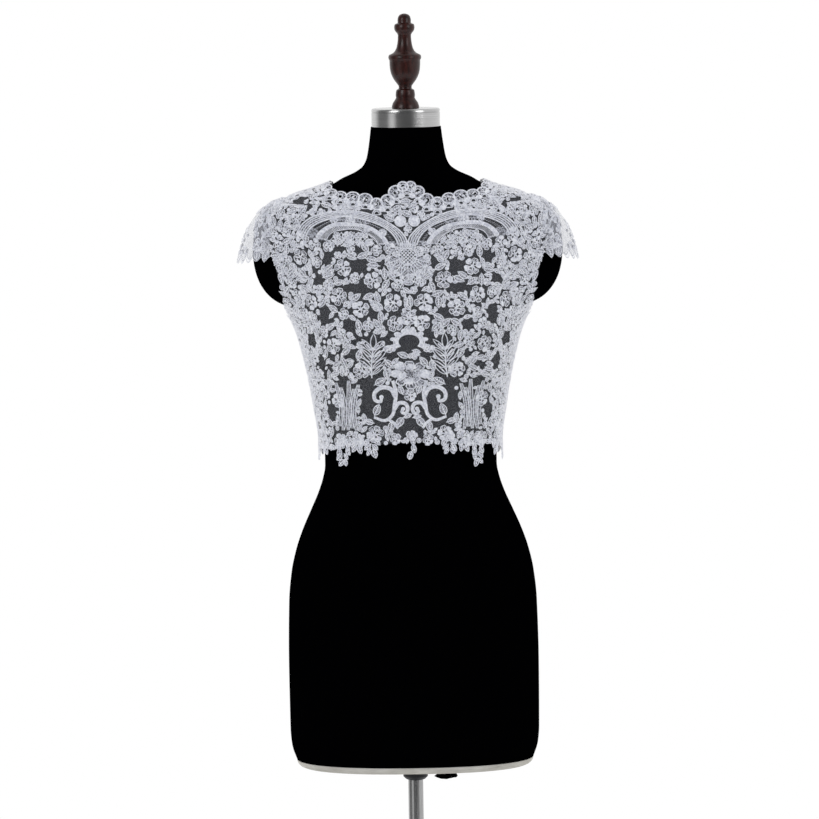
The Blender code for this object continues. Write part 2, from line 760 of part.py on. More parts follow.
def arch_loop(panel, side, row):
    """A curved slit along one band of a bust arch."""
    rims = []
    for half in (ARCH_SLIT / 2, -ARCH_SLIT / 2):
        for step in range(ARCH_STEPS + 1):
            share = step / ARCH_STEPS if half > 0 else 1 - step / ARCH_STEPS
            turn = math.radians(row.start + share * (row.end - row.start))
            x = ARCH_ACROSS - (ARCH_HALF_SPAN * row.scale + half) * math.cos(turn)
            z = ARCH_HEIGHT + (ARCH_RISE * row.scale + half) * math.sin(turn)
            rims.append((side * panel.across_of(x, z), z))
    return np.array(rims[::-side])


def dense(loop):
    """Points along a loop, close enough to measure distances by."""
    loop = np.asarray(loop, float)
    after = np.roll(loop, -1, axis=0)
    return np.concatenate([loop + (after - loop) * share for share in (0.0, 0.25, 0.5, 0.75)])


def is_inside(loop, points):
    """Whether each point lies inside a loop, by counting the sides to its right."""
    loop = np.asarray(loop, float)
    x, z = np.asarray(points, float).T[..., None]
    x0, z0 = loop.T
    x1, z1 = np.roll(loop, -1, axis=0).T
    spans = (z0 > z) != (z1 > z)
    rise = np.where(z1 == z0, 1.0, z1 - z0)
    meets = x < (x1 - x0) * (z - z0) / rise + x0
    return np.sum(spans & meets, axis=1) % 2 == 1


def nearest(points, others):
    points = np.asarray(points, float)
    others = np.asarray(others, float)
    return np.min(np.linalg.norm(points[:, None] - others[None], axis=2), axis=1)


class Lace:
    """A lace layer on a sheet: its outline, the gaps cut through it and its raised points."""

    def __init__(self, sheet, outline):
        self.sheet = sheet
        self.outline = np.array(outline, float)
        self.gaps = []
        self.points = []
        self.lifts = []

    def cut(self, loop, edge_clearance=EDGE_CLEARANCE):
        """Cuts a gap unless it would come too near the edge or another gap."""
        rim = dense(loop)
        if not is_inside(self.outline, rim).all():
            return
        scale = cloth_scale(self.sheet, np.mean(loop, axis=0))
        if nearest(rim * scale, dense(self.outline) * scale).min() < edge_clearance:
            return
        if self.gaps:
            others = np.concatenate([dense(gap) for gap in self.gaps])
            if nearest(rim * scale, others * scale).min() < GAP_CLEARANCE:
                return
        self.gaps.append(np.asarray(loop))

    def places(self, pitch):
        """A staggered grid of places over the sheet."""
        low = self.outline.min(axis=0)
        high = self.outline.max(axis=0)
        row = 0
        z = low[1] + pitch / 2
        while z < high[1]:
            for x in np.arange(low[0] + pitch / 2 * (1 + row % 2), high[0], pitch):
                if is_inside(self.outline, [(x, z)])[0]:
                    yield x, z
            row += 1
            z += pitch * ROW_SHARE / self.sheet.steepness(z)

    def cut_small(self, keep_clear):
        """Small gaps wherever the larger ones leave room."""
        for number, (x, z) in enumerate(self.places(GAP_PITCH)):
            if abs(x) >= keep_clear:
                width, length = SMALL_GAP
                self.cut(gap_loop(self.sheet, (x, z), width, length, 40.0 * number, number))

    def add_point(self, spot, lift, apart):
        if not is_inside(self.outline, [spot])[0]:
            return
        rims = np.concatenate([dense(self.outline), *[dense(gap) for gap in self.gaps], *self.points])
        scale = np.array(cloth_scale(self.sheet, spot))
        if nearest([spot * scale], rims * scale)[0] < apart:
            return
        if any(is_inside(gap, [spot])[0] for gap in self.gaps):
            return
        self.points.append(np.array([spot], float))
        self.lifts.append(lift)

    def raise_flower(self, spot, diameter):
        """A low centre inside a ring of raised petals."""
        self.add_point(spot, FLOWER_RELIEF / 2, POINT_CLEARANCE)
        for petal in range(PETALS):
            turn = math.tau * petal / PETALS
            offset = [(diameter / 3 * math.sin(turn), diameter / 3 * math.cos(turn))]
            self.add_point(tuple(lay_out(self.sheet, spot, offset)[0]), FLOWER_RELIEF, POINT_CLEARANCE)

    def fill(self):
        """Plain points that keep the wide stretches on the curve of the cloth."""
        for spot in self.places(SHOULDER_PITCH):
            if spot[1] > SHOULDER_FILL:
                self.add_point(spot, 0.0, SHOULDER_CLEARANCE)
        for spot in self.places(FILL_PITCH):
            self.add_point(spot, 0.0, FILL_CLEARANCE)

    def build(self, name, material):
        loops = [self.outline, *self.gaps]
        spots = np.concatenate([*loops, *self.points])
        faces = []
        first = 0
        for loop in loops:
            faces.append(list(range(first, first + len(loop))))
            first += len(loop)
        raised = [0.0] * first + self.lifts
        corners = [Vector(spot) for spot in spots]
        points, _, triangles, sources, _, owners = delaunay_2d_cdt(corners, [], faces, 0, 1e-4)
        kept = [face for face, owner in zip(triangles, owners) if owner == [0]]
        lifts = np.array([max((raised[i] for i in source), default=0.0) for source in sources])
        return build_wall(name, self.sheet, [tuple(point) for point in points], kept, lifts, material)


def front_lace(panel, material):
    half_hem = hem_edge(panel, FRONT_TIPS[1:])
    centre = hem_edge(panel, FRONT_TIPS[:1])
    side = side_edge(panel)
    neck, middles = scallops(panel, front_neck, math.radians(89), math.radians(-89), FRONT_SCALLOPS)
    outline = [*mirrored(side), *mirrored(half_hem), *centre, *half_hem, *side, *neck]
    lace = Lace(panel, outline)
    for number, row in enumerate(CENTRE_GAPS):
        lace.cut(gap_loop(panel, (0.0, row.height), row.width, row.length, row.tilt, number))
    for number, row in enumerate(SIDE_GAPS):
        for side in (-1, 1):
            spot = (side * panel.across_of(row.across, row.height), row.height)
            lace.cut(gap_loop(panel, spot, row.width, row.length, side * row.tilt, number))
    for row in ARCH_SLITS:
        for side in (-1, 1):
            lace.cut(arch_loop(panel, side, row))
    for number, spot in enumerate(middles):
        size = 2 * SCALLOP_HOLE
        lace.cut(gap_loop(panel, spot, size, size, 0.0, number), SCALLOP_CLEARANCE)
    lace.cut_small(0.0)
    for row in FLOWERS:
        for side in (-1, 1) if row.across else (1,):
            spot = (side * panel.across_of(row.across, row.height), row.height)
            lace.raise_flower(spot, row.diameter)
    lace.fill()
    return lace.build("front", material)


def back_lace(name, panel, side, material):
    hem = [(BACK_EDGE, float(hem_line(180.0)) - LACE_BELOW_HEM), *hem_edge(panel, BACK_TIPS)]
    neck, middles = scallops(panel, back_neck, math.radians(89), BACK_NECK_END, BACK_SCALLOPS)
    centre = [(BACK_EDGE, level) for level in np.linspace(neck[-1][1], hem[0][1], CENTRE_ROWS)[:-1]]
    outline = [*hem, *side_edge(panel), *neck, *centre]
    if side < 0:
        outline = mirrored(outline)
        middles = mirrored(middles)
    lace = Lace(panel, outline)
    for number, spot in enumerate(middles):
        size = 2 * SCALLOP_HOLE
        lace.cut(gap_loop(panel, spot, size, size, 0.0, number), SCALLOP_CLEARANCE)
    for number, row in enumerate(BACK_GAPS):
        spot = (side * row.across, row.height)
        lace.cut(gap_loop(panel, spot, row.width, row.length, side * row.tilt, number))
    lace.cut_small(PLACKET)
    for row in BACK_FLOWERS:
        lace.raise_flower((side * row.across, row.height), row.diameter)
    lace.fill()
    return lace.build(name, material)


def sleeve_lace(name, sleeve, material):
    steps = [*[-step for step in SEAM_STEPS], 0.0, *reversed(SEAM_STEPS)]
    seam = [(100.0 * step, SLEEVE_SEAM_MARGIN) for step in steps]
    edge = []
    for number in range(SLEEVE_LOBES):
        for share in SCALLOP_SHARES:
            along = 100.0 - 200.0 * (number + share) / SLEEVE_LOBES
            reach = SLEEVE_LOBE * math.sin(math.pi * share) ** SCALLOP_BLUNTNESS
            edge.append(tuple(lay_out(sleeve, (along, 100.0), (0.0, reach))))
    lace = Lace(sleeve, [*seam, *edge, (-100.0, 100.0)])
    for number, row in enumerate(SLEEVE_GAPS):
        for side in (-1, 1) if row.across else (1,):
            spot = (side * row.across, row.height)
            lace.cut(gap_loop(sleeve, spot, row.width, row.length, row.tilt, number))
    for row in SLEEVE_FLOWERS:
        for side in (-1, 1) if row.across else (1,):
            lace.raise_flower((side * row.across, row.height), row.diameter)
    lace.fill()
    return lace.build(name, material)


def ring_solid(name, rings, material):
    """A closed solid through rings from top to bottom."""
    mesh = bmesh.new()
    rows = [[mesh.verts.new(Vector(point) * MM) for point in ring] for ring in rings]
    for upper, lower in zip(rows, rows[1:]):
        for place, corner in enumerate(upper):
            after = (place + 1) % len(upper)
            mesh.faces.new((corner, lower[place], lower[after], upper[after]))
    mesh.faces.new(rows[0])
    mesh.faces.new(list(reversed(rows[-1])))
    bmesh.ops.triangulate(mesh, faces=mesh.faces)
    bmesh.ops.recalc_face_normals(mesh, faces=mesh.faces)
    data = bpy.data.meshes.new(name)
    mesh.to_mesh(data)
    mesh.free()
    return add_object(name, data, material)


def form_angles():
    """Angles whose points are evenly spread round a wide section."""
    turns = np.linspace(-math.pi, math.pi, FORM_STEPS, endpoint=False)
    return np.arctan2(FORM_WIDENESS * np.sin(turns), np.cos(turns))


def torso(material):
    angles = form_angles()
    levels = sorted({row.height for row in FORM} | set(STUB_LEVELS), reverse=True)
    rings = []
    for level in levels:
        heights = np.full_like(angles, level)
        rings.append(round_point(angles, heights, form_radius(angles, heights)))
    return ring_solid("torso", rings, material)


def base_band(material):
    """The edge board under the form, rounded in towards its flat underside."""
    angles = form_angles()
    rings = []
    for row in BAND:
        radius = form_radius(angles, np.full_like(angles, BAND_TOP)) - row.inset
        rings.append(round_point(angles, np.full_like(angles, row.height), radius))
    return ring_solid("base_band", rings, material)


def turned(name, profile, material, steps=TURN_STEPS):
    """A piece turned about the Z axis; its profile runs down the outer side."""
    mesh = bpy.data.meshes.new(name)
    points = [(radius * MM, 0.0, height * MM) for radius, height in profile]
    mesh.from_pydata(points, [(i, i + 1) for i in range(len(points) - 1)], [])
    item = add_object(name, mesh, material, smooth=False)
    screw = item.modifiers.new("Turn", "SCREW")
    screw.steps = steps
    screw.render_steps = steps
    screw.use_merge_vertices = True
    screw.merge_threshold = 0.00002
    screw.use_smooth_shade = True
    return item


def cover_tail(material):
    """The crumpled tail of the form's cover, drawn in under the band."""
    mesh = bmesh.new()
    bmesh.ops.create_uvsphere(mesh, u_segments=12, v_segments=7, radius=1.0)
    for vert in mesh.verts:
        x, y, z = vert.co
        dent = 1 + TAIL_DENT * math.sin(TAIL_CRUMPLE * (x + z)) * math.cos(TAIL_CRUMPLE * y)
        vert.co = Vector((x, y, z)) * dent
        vert.co = Vector(vert.co[i] * TAIL_SIZE[i] / 2 * MM for i in range(3))
    top = max(vert.co.z for vert in mesh.verts)
    data = bpy.data.meshes.new("cover_tail")
    mesh.to_mesh(data)
    mesh.free()
    item = add_object("cover_tail", data, material)
    item.location = (TAIL_SIDE * MM, -TAIL_FRONT * MM, (FORM_BOTTOM - SEAM) * MM - top)
    return item


def buttons(panel, material):
    """Covered buttons down the left back's edge, each standing on the lace."""
    seat = CLOTH_WALL + BUTTON_SEAT
    profile = [(BUTTON_RADIUS * row.radius, BUTTON_HEIGHT * row.height) for row in BUTTON_PROFILE]
    for number in range(BUTTON_COUNT):
        height = BUTTON_TOP + (BUTTON_BOTTOM - BUTTON_TOP) * number / (BUTTON_COUNT - 1)
        foot, above = panel.spot([(BUTTON_ACROSS, height)] * 2, np.array((seat, seat + 1.0)))
        item = turned(f"button_{number + 1}", profile, material, BUTTON_STEPS)
        item.rotation_mode = "QUATERNION"
        item.rotation_quaternion = Vector(above - foot).to_track_quat("Z", "Y")
        item.location = Vector(foot) * MM


def stand(steel, black):
    turned("stand_base", STAND_BASE, black, BASE_STEPS)
    pole = (
        (0.0, COLLAR_BOTTOM - SEAM),
        (POLE_RADIUS, COLLAR_BOTTOM - SEAM),
        (POLE_RADIUS, BOSS_TOP + SEAM),
        (0.0, BOSS_TOP + SEAM),
    )
    turned("pole", pole, steel)
    collar = (
        (0.0, FORM_BOTTOM - SEAM),
        (COLLAR_RADIUS, FORM_BOTTOM - SEAM),
        (COLLAR_RADIUS, COLLAR_BOTTOM + COLLAR_CHAMFER),
        (COLLAR_RADIUS - COLLAR_CHAMFER, COLLAR_BOTTOM),
        (0.0, COLLAR_BOTTOM),
    )
    turned("pole_collar", collar, black)


def neck_pieces(metal, wood):
    cap = (
        (0.0, CAP_TOP),
        (CAP_RADIUS - CAP_ROUND, CAP_TOP),
        (CAP_RADIUS, CAP_TOP - CAP_ROUND),
        (CAP_RADIUS, NECK_TOP + SEAM),
        (0.0, NECK_TOP + SEAM),
    )
    turned("neck_cap", cap, metal)
    turned("finial", [(row.radius, row.height) for row in FINIAL], wood, FINIAL_STEPS)


def jacket(lace):
    back = Panel(math.pi)
    front_lace(Panel(0.0), lace)
    back_lace("back_left", back, 1, lace)
    back_lace("back_right", back, -1, lace)
    sleeve_lace("sleeve_left", Sleeve(1), lace)
    sleeve_lace("sleeve_right", Sleeve(-1), lace)
    buttons(back, lace)


def main():
    clear_scene()
    black_jersey = make_material("black_jersey", (0.006, 0.006, 0.007), 0.95)
    cream_board = make_material("cream_board", (0.55, 0.53, 0.47), 0.8)
    satin_metal = make_material("satin_metal", (0.62, 0.63, 0.65), 0.3, 1.0)
    dark_wood = make_material("dark_wood", (0.05, 0.02, 0.015), 0.35)
    black_metal = make_material("black_metal", (0.02, 0.02, 0.022), 0.45, 0.6)
    white_lace = make_material("white_lace", (0.86, 0.87, 0.9), 0.6)
    torso(black_jersey)
    base_band(cream_board)
    cover_tail(black_jersey)
    neck_pieces(satin_metal, dark_wood)
    stand(satin_metal, black_metal)
    jacket(white_lace)


main()
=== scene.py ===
"""Looks of a cropped lace bridal jacket and the dress form that wears it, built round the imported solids.

Sizes are in millimetres and become metres when a mesh is made. +Z is up, the front faces -Y, and
left and right are the wearer's, so left is +X.
"""

import math
from collections import namedtuple

import bpy
import numpy as np
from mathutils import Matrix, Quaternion, Vector


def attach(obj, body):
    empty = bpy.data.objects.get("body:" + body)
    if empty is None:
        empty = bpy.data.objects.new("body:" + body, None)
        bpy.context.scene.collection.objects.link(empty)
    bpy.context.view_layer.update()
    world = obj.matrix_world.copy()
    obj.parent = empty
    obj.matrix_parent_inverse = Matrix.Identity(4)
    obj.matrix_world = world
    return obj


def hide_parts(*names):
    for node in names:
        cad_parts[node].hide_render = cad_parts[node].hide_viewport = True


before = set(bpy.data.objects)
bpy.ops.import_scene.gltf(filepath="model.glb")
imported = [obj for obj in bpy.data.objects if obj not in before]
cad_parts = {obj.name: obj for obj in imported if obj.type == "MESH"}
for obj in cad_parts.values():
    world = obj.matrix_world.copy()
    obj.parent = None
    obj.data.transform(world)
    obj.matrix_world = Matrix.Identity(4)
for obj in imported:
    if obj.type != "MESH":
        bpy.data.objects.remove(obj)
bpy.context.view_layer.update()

MM = 0.001
SEED = 11

# Dress form and cloth, as in the part
NECK_TOP = 1486.0
BAND_TOP = 650.0
SEAM = 0.3
BUST_RISE = 15.0
BUST_ANGLE = math.radians(38)
BUST_ANGLE_SPREAD = math.radians(24)
BUST_HEIGHT = 1222.0
BUST_HEIGHT_SPREAD = 52.0
STUB_REACH = 40.0
STUB_ANGLE_SPREAD = math.radians(30)
STUB_HEIGHT = 1313.0
STUB_BELOW = 60.0
STUB_ABOVE = 70.0
STUB_FULLNESS = 0.5
STUB_ROUNDNESS = 0.6
CLOTH_WALL = 1.5
CLOTH_MIDDLE = CLOTH_WALL / 2
BRIDGE_LOW = 1234.0
BRIDGE_HIGH = 1288.0
UNDERARM = 1238.0
SHOULDER_TIP = 1391.0
SHOULDER_NECK = 1413.0
SLEEVE_LOW = 1328.0
SLEEVE_EDGE_HEIGHT = 1320.0
SLEEVE_REACH = 222.0
SLEEVE_CENTRE = 180.0
SLEEVE_HALF_DEPTH = 43.5
SLEEVE_FULLNESS = 0.75
SLEEVE_SLOPE = 0.07
SEAM_ROUNDNESS = 2.2
SCALLOP_RADIUS = 8.0
FRONT_SCALLOPS = 19
BACK_SCALLOPS = 9
SLEEVE_LOBES = 11
BUTTON_COUNT = 8


def table(names, *rows):
    """Rows of numbers with named columns."""
    kind = namedtuple("Row", names)
    return [kind(*row) for row in rows]


FORM = table(
    "height half_width front back squareness",
    (650, 157, 99, 105, 2.3),
    (668, 163, 103, 110, 2.3),
    (690, 165, 105, 114, 2.3),
    (780, 165.6, 107, 120, 2.3),
    (860, 164, 104, 117, 2.3),
    (900, 160, 101, 110, 2.3),
    (930, 153.2, 97, 100, 2.25),
    (955, 144.5, 93, 91, 2.25),
    (980, 133.6, 89, 82, 2.2),
    (1003, 123.4, 86, 76, 2.2),
    (1023, 116.6, 84, 73, 2.2),
    (1040, 113.4, 83, 72, 2.2),
    (1070, 113.4, 84.5, 73, 2.2),
    (1125, 121.6, 92, 80, 2.2),
    (1173, 131.5, 100, 87, 2.2),
    (1213, 142.5, 106, 92, 2.2),
    (1245, 154, 107, 95, 2.25),
    (1275, 160, 104, 98, 2.3),
    (1310, 163, 96, 99, 2.35),
    (1345, 166, 86, 97, 2.4),
    (1375, 166, 75, 90, 2.4),
    (1391, 153, 67, 82, 2.4),
    (1403, 118, 60, 75, 2.3),
    (1411, 98.5, 56.5, 70, 2.2),
    (1419, 85, 53.5, 66, 2.2),
    (1427, 67.5, 51, 62, 2.15),
    (1435, 57, 49.5, 59, 2.1),
    (1446, 52, 48, 55, 2.05),
    (1466, 48.5, 46.5, 50, 2.0),
    (1486, 46, 45.5, 46.5, 2.0),
)
EASE = table(
    "height side front back",
    (1040, 7.4, 7.0, 7.0),
    (1125, 5.4, 6.0, 5.5),
    (1180, 4.0, 4.5, 4.0),
    (1225, 3.0, 2.8, 3.2),
    (1350, 3.0, 2.8, 3.2),
    (1390, 5.0, 4.2, 5.2),
    (1420, 3.6, 3.0, 3.2),
)
ARMHOLE = table(
    "height degrees",
    (UNDERARM, 0), (1239.5, 4.5), (1245, 9.5), (1257, 14), (1280, 17), (1304, 15.5),
    (1330, 14), (1360, 11.8), (1378, 8.4), (1388, 4.2), (SHOULDER_TIP, 0),
)
EDGE = "degrees height"
FRONT_NECK = table(
    EDGE,
    (0, 1417), (8, 1415), (15, 1408), (22, 1397), (28, 1392), (36, 1396), (48, 1400),
    (62, 1401), (76, 1407), (90, SHOULDER_NECK),
)
BACK_NECK = table(EDGE, (90, SHOULDER_NECK), (110, 1407), (140, 1391), (180, 1382))
HEM = table(EDGE, (0, 1080), (90, 1069), (180, 1067))

# Gaps between motifs, as in the part: sideways as seen from the front, or along the cloth on the back
GAP = "across height width length tilt"
CENTRE_GAPS = table(GAP, (0, 1212, 16, 13, 0), (0, 1098, 36, 25, 0))
SIDE_GAPS = table(
    GAP,
    (25, 1206, 15, 36, 4),
    (36, 1136, 16, 24, 12),
    (57, 1131, 14, 36, -8),
    (14, 1128, 9, 13, 20),
    (126, 1213, 17, 19, 30),
    (114, 1184, 11, 24, 0),
    (102, 1117, 13, 20, 0),
    (110, 1246, 16, 24, -10),
    (77, 1234, 17, 13, 0),
    (64, 1279, 27, 10, -8),
    (116, 1290, 17, 11, 20),
    (62, 1309, 17, 16, 20),
    (104, 1318, 13, 15, 0),
    (33, 1311, 10, 10, 0),
    (46, 1248, 13, 8, 30),
    (88, 1159, 9, 14, 10),
    (75, 1196, 9, 12, -20),
    (38, 1106, 8, 9, 0),
    (76, 1101, 9, 11, 0),
    (112, 1356, 12, 9, -30),
    (128, 1382, 13, 8, -30),
)
BACK_GAPS = table(
    GAP,
    (44, 1340, 14, 18, 20),
    (92, 1352, 16, 12, -20),
    (68, 1306, 12, 20, 0),
    (112, 1300, 16, 16, 30),
    (40, 1272, 16, 14, -20),
    (88, 1256, 14, 20, 10),
    (130, 1236, 14, 18, 0),
    (54, 1222, 14, 22, -10),
    (100, 1198, 16, 16, 20),
    (38, 1170, 15, 15, 0),
    (74, 1150, 13, 24, 8),
    (118, 1142, 14, 18, -8),
    (48, 1112, 16, 18, 0),
    (94, 1102, 14, 18, 20),
)

# On a sleeve the first two are percent along its seam from the top and down from the seam
SLEEVE_GAPS = table(
    GAP,
    (0, 30, 13, 12, 0),
    (0, 66, 12, 13, 0),
    (24, 48, 11, 12, 0),
    (44, 28, 8, 9, 0),
    (46, 66, 8, 9, 0),
    (22, 80, 8, 8, 0),
    (66, 50, 7, 7, 0),
)
FLOWER = "across height diameter"
FLOWERS = table(
    FLOWER,
    (84, 1306, 24), (46, 1290, 24), (90, 1270, 24), (20, 1262, 26), (62, 1254, 24),
    (18, 1236, 22), (98, 1208, 24), (62, 1176, 24), (94, 1134, 22), (46, 1090, 24),
    (92, 1080, 22), (126, 1262, 22), (140, 1320, 22), (132, 1152, 20),
)
BACK_FLOWERS = table(
    FLOWER,
    (66, 1344, 24), (92, 1322, 24), (46, 1304, 22), (64, 1276, 22), (112, 1266, 24),
    (62, 1248, 20), (78, 1222, 24), (36, 1200, 22), (72, 1184, 22), (124, 1184, 22),
    (54, 1140, 22), (98, 1138, 22), (72, 1100, 24), (120, 1100, 22),
)
SLEEVE_FLOWERS = table(FLOWER, (-22, 24, 18), (22, 24, 18))
TIP = "across drop width"
FRONT_TIPS = table(TIP, (2, 22, 14), (52, 17, 18), (73, 11, 16), (93, 30, 20), (130, 14, 18), (158, 24, 18))
BACK_TIPS = table(TIP, (20, 14, 18), (50, 24, 20), (80, 12, 18), (110, 26, 20), (140, 15, 18))
HEM_REACH = 205.0

# Layout of the panels and sleeves
PANEL_TURN = math.radians(112)
PANEL_STEPS = 241
PANEL_LOW = 1030.0
PANEL_HIGH = 1430.0
PANEL_REACH = 330.0
SHOULDER_FROM = math.radians(50)
SHOULDER_SPREAD = math.radians(30)
NORMAL_TURN = 0.004
NORMAL_RISE = 0.6
SLEEVE_STEP = 0.02
SEAM_BLEND = 0.4

# Lace cords and layers, measured out from the cloth's inner face
CORD = 1.25
THIN_CORD = 0.8
BOLD_CORD = 1.9
NET_LIFT = 0.5
FILL_LIFT = 0.9
CORD_LIFT = 1.1
RIDGE = 0.45
DOME = 0.5
CORD_KIND, FILL_KIND = 0, 1


def smooth_curve(places, values):
    """A curve through the values that keeps their rises and falls, with no overshoot."""
    places = np.asarray(places, float)
    values = np.asarray(values, float)
    steps = np.diff(places)
    slopes = np.diff(values) / steps
    tangents = np.zeros_like(values)
    product = slopes[:-1] * slopes[1:]
    same = product > 0
    tangents[1:-1][same] = 2 * product[same] / (slopes[:-1] + slopes[1:])[same]
    tangents[0] = slopes[0]
    tangents[-1] = slopes[-1]

    def value(place):
        place = np.clip(place, places[0], places[-1])
        index = np.clip(np.searchsorted(places, place, side="right") - 1, 0, len(steps) - 1)
        t = (place - places[index]) / steps[index]
        start = (1 + 2 * t) * (1 - t) ** 2 * values[index]
        leave = t * (1 - t) ** 2 * steps[index] * tangents[index]
        end = t * t * (3 - 2 * t) * values[index + 1]
        reach = t * t * (t - 1) * steps[index] * tangents[index + 1]
        return start + leave + end + reach

    return value


def column(rows, name):
    """A smooth curve of one column over the table's first column."""
    return smooth_curve([row[0] for row in rows], [getattr(row, name) for row in rows])


form_half_width = column(FORM, "half_width")
form_front = column(FORM, "front")
form_back = column(FORM, "back")
form_squareness = column(FORM, "squareness")
ease_side = column(EASE, "side")
ease_front = column(EASE, "front")
ease_back = column(EASE, "back")
front_neck = column(FRONT_NECK, "height")
back_neck = column(BACK_NECK, "height")
hem_line = column(HEM, "height")
armhole_degrees = column(ARMHOLE, "degrees")


def smooth_step(t):
    t = np.clip(t, 0.0, 1.0)
    return t * t * (3 - 2 * t)


def stub_rise(height):
    """The arm stub's profile, round below and running out into the shoulder above."""
    below = (height - STUB_HEIGHT) / STUB_BELOW
    above = (height - STUB_HEIGHT) / STUB_ABOVE
    place = np.where(height < STUB_HEIGHT, below, above)
    roundness = np.where(height < STUB_HEIGHT, STUB_FULLNESS, STUB_ROUNDNESS)
    return np.clip(1 - place**2, 0.0, 1.0) ** roundness


def bridge_rise(height):
    """The same for the cloth, which spans the crease under the stub."""
    rise = smooth_step((height - BRIDGE_LOW) / (BRIDGE_HIGH - BRIDGE_LOW))
    return np.where(height < STUB_HEIGHT, rise, stub_rise(height))


def form_radius(angle, height, rise=stub_rise):
    """Distance from the form's axis to its surface; the angle runs from the centre front."""
    side = np.abs(np.sin(angle)) / form_half_width(height)
    depth = np.where(np.cos(angle) > 0, form_front(height), form_back(height))
    ahead = np.abs(np.cos(angle)) / depth
    power = form_squareness(height)
    section = (side**power + ahead**power) ** (-1 / power)
    turn = (np.abs(angle) - BUST_ANGLE) / BUST_ANGLE_SPREAD
    lift = (height - BUST_HEIGHT) / BUST_HEIGHT_SPREAD
    bust = BUST_RISE * np.exp(-(turn**2) - lift**2)
    spread = 1 - np.abs(np.abs(angle) - math.pi / 2) / STUB_ANGLE_SPREAD
    return section + bust + STUB_REACH * rise(height) * smooth_step(spread)


def round_point(angle, height, radius):
    return np.stack((radius * np.sin(angle), -radius * np.cos(angle), height + 0 * angle), axis=-1)


def cloth_base(angle, height):
    return round_point(angle, height, form_radius(angle, height, bridge_rise))


def lengths(vectors):
    return np.linalg.norm(vectors, axis=-1)


def unit(vectors):
    return vectors / np.maximum(np.linalg.norm(vectors, axis=-1, keepdims=True), 1e-9)


def runs(way):
    """Distance along each line of points from its start."""
    steps = lengths(np.diff(way, axis=-2))
    return np.concatenate((np.zeros(steps.shape[:-1] + (1,)), np.cumsum(steps, axis=-1)), axis=-1)


def cloth_point(angle, height, lift):
    """A point of the jacket over the form, lifted from the cloth's inner face."""
    angle = np.asarray(angle, float)
    height = np.asarray(height, float)
    along = cloth_base(angle + NORMAL_TURN, height) - cloth_base(angle - NORMAL_TURN, height)
    upward = cloth_base(angle, height + NORMAL_RISE) - cloth_base(angle, height - NORMAL_RISE)
    normal = unit(np.cross(along, upward))
    ahead = np.cos(angle) ** 2
    facing = np.where(np.cos(angle) > 0, ease_front(height), ease_back(height))
    ease = ahead * facing + (1 - ahead) * ease_side(height)
    return cloth_base(angle, height) + normal * (ease + lift)[..., None]


def armhole_depth(height):
    """How far the armhole cuts in from the side line, as an angle."""
    return np.radians(armhole_degrees(height))


def seam_height(along):
    return SLEEVE_LOW + (SHOULDER_TIP - SLEEVE_LOW) * (1 - np.abs(along) ** SEAM_ROUNDNESS)


class Panel:
    """A bodice panel laid out by the distance along the cloth from its centre line, and by height."""

    def __init__(self, centre, neck):
        self.centre = centre
        self.neck = neck
        self.flip = centre > 0
        turns = np.linspace(0.0, PANEL_TURN, PANEL_STEPS)
        levels = np.arange(PANEL_LOW, PANEL_HIGH + 1.0)
        angles, heights = np.meshgrid(centre - turns, levels)
        way = cloth_point(angles, heights, CLOTH_MIDDLE)
        along = runs(way)
        reaches = np.maximum.accumulate(np.abs(way[..., 0]), axis=1)
        even = np.arange(PANEL_REACH)
        self.turn_at = np.array([np.interp(even, row, turns) for row in along])
        self.across_at = np.array([np.interp(even, reach, row) for reach, row in zip(reaches, along)])

    def look_up(self, places, distance, height):
        x = np.clip(np.abs(distance), 0.0, places.shape[1] - 1.001)
        z = np.clip(height - PANEL_LOW, 0.0, places.shape[0] - 1.001)
        i, j = z.astype(int), x.astype(int)
        s, t = z - i, x - j
        low = places[i, j] * (1 - t) + places[i, j + 1] * t
        high = places[i + 1, j] * (1 - t) + places[i + 1, j + 1] * t
        return low * (1 - s) + high * s

    def angle(self, points):
        turn = self.look_up(self.turn_at, points[..., 0], points[..., 1])
        return np.copysign(np.abs(self.centre - turn), points[..., 0])

    def seen(self, points):
        """Places given sideways as seen from the front, as places along the cloth."""
        points = np.asarray(points, float)
        across = self.look_up(self.across_at, points[..., 0], points[..., 1])
        return np.stack((np.copysign(across, points[..., 0]), points[..., 1]), axis=-1)

    def spot(self, points, lift):
        points = np.asarray(points, float)
        return cloth_point(self.angle(points), points[..., 1], lift)

    def inside(self, points):
        angle = np.abs(self.angle(points))
        height = points[..., 1]
        turn = np.abs(self.centre - angle)
        degrees = np.degrees(angle)
        above = height > hem_line(degrees)
        shoulder = smooth_step((turn - SHOULDER_FROM) / SHOULDER_SPREAD)
        below = height < self.neck(degrees) - SCALLOP_RADIUS * (1 - 0.6 * shoulder)
        return above & below & (turn < math.pi / 2 - armhole_depth(height))


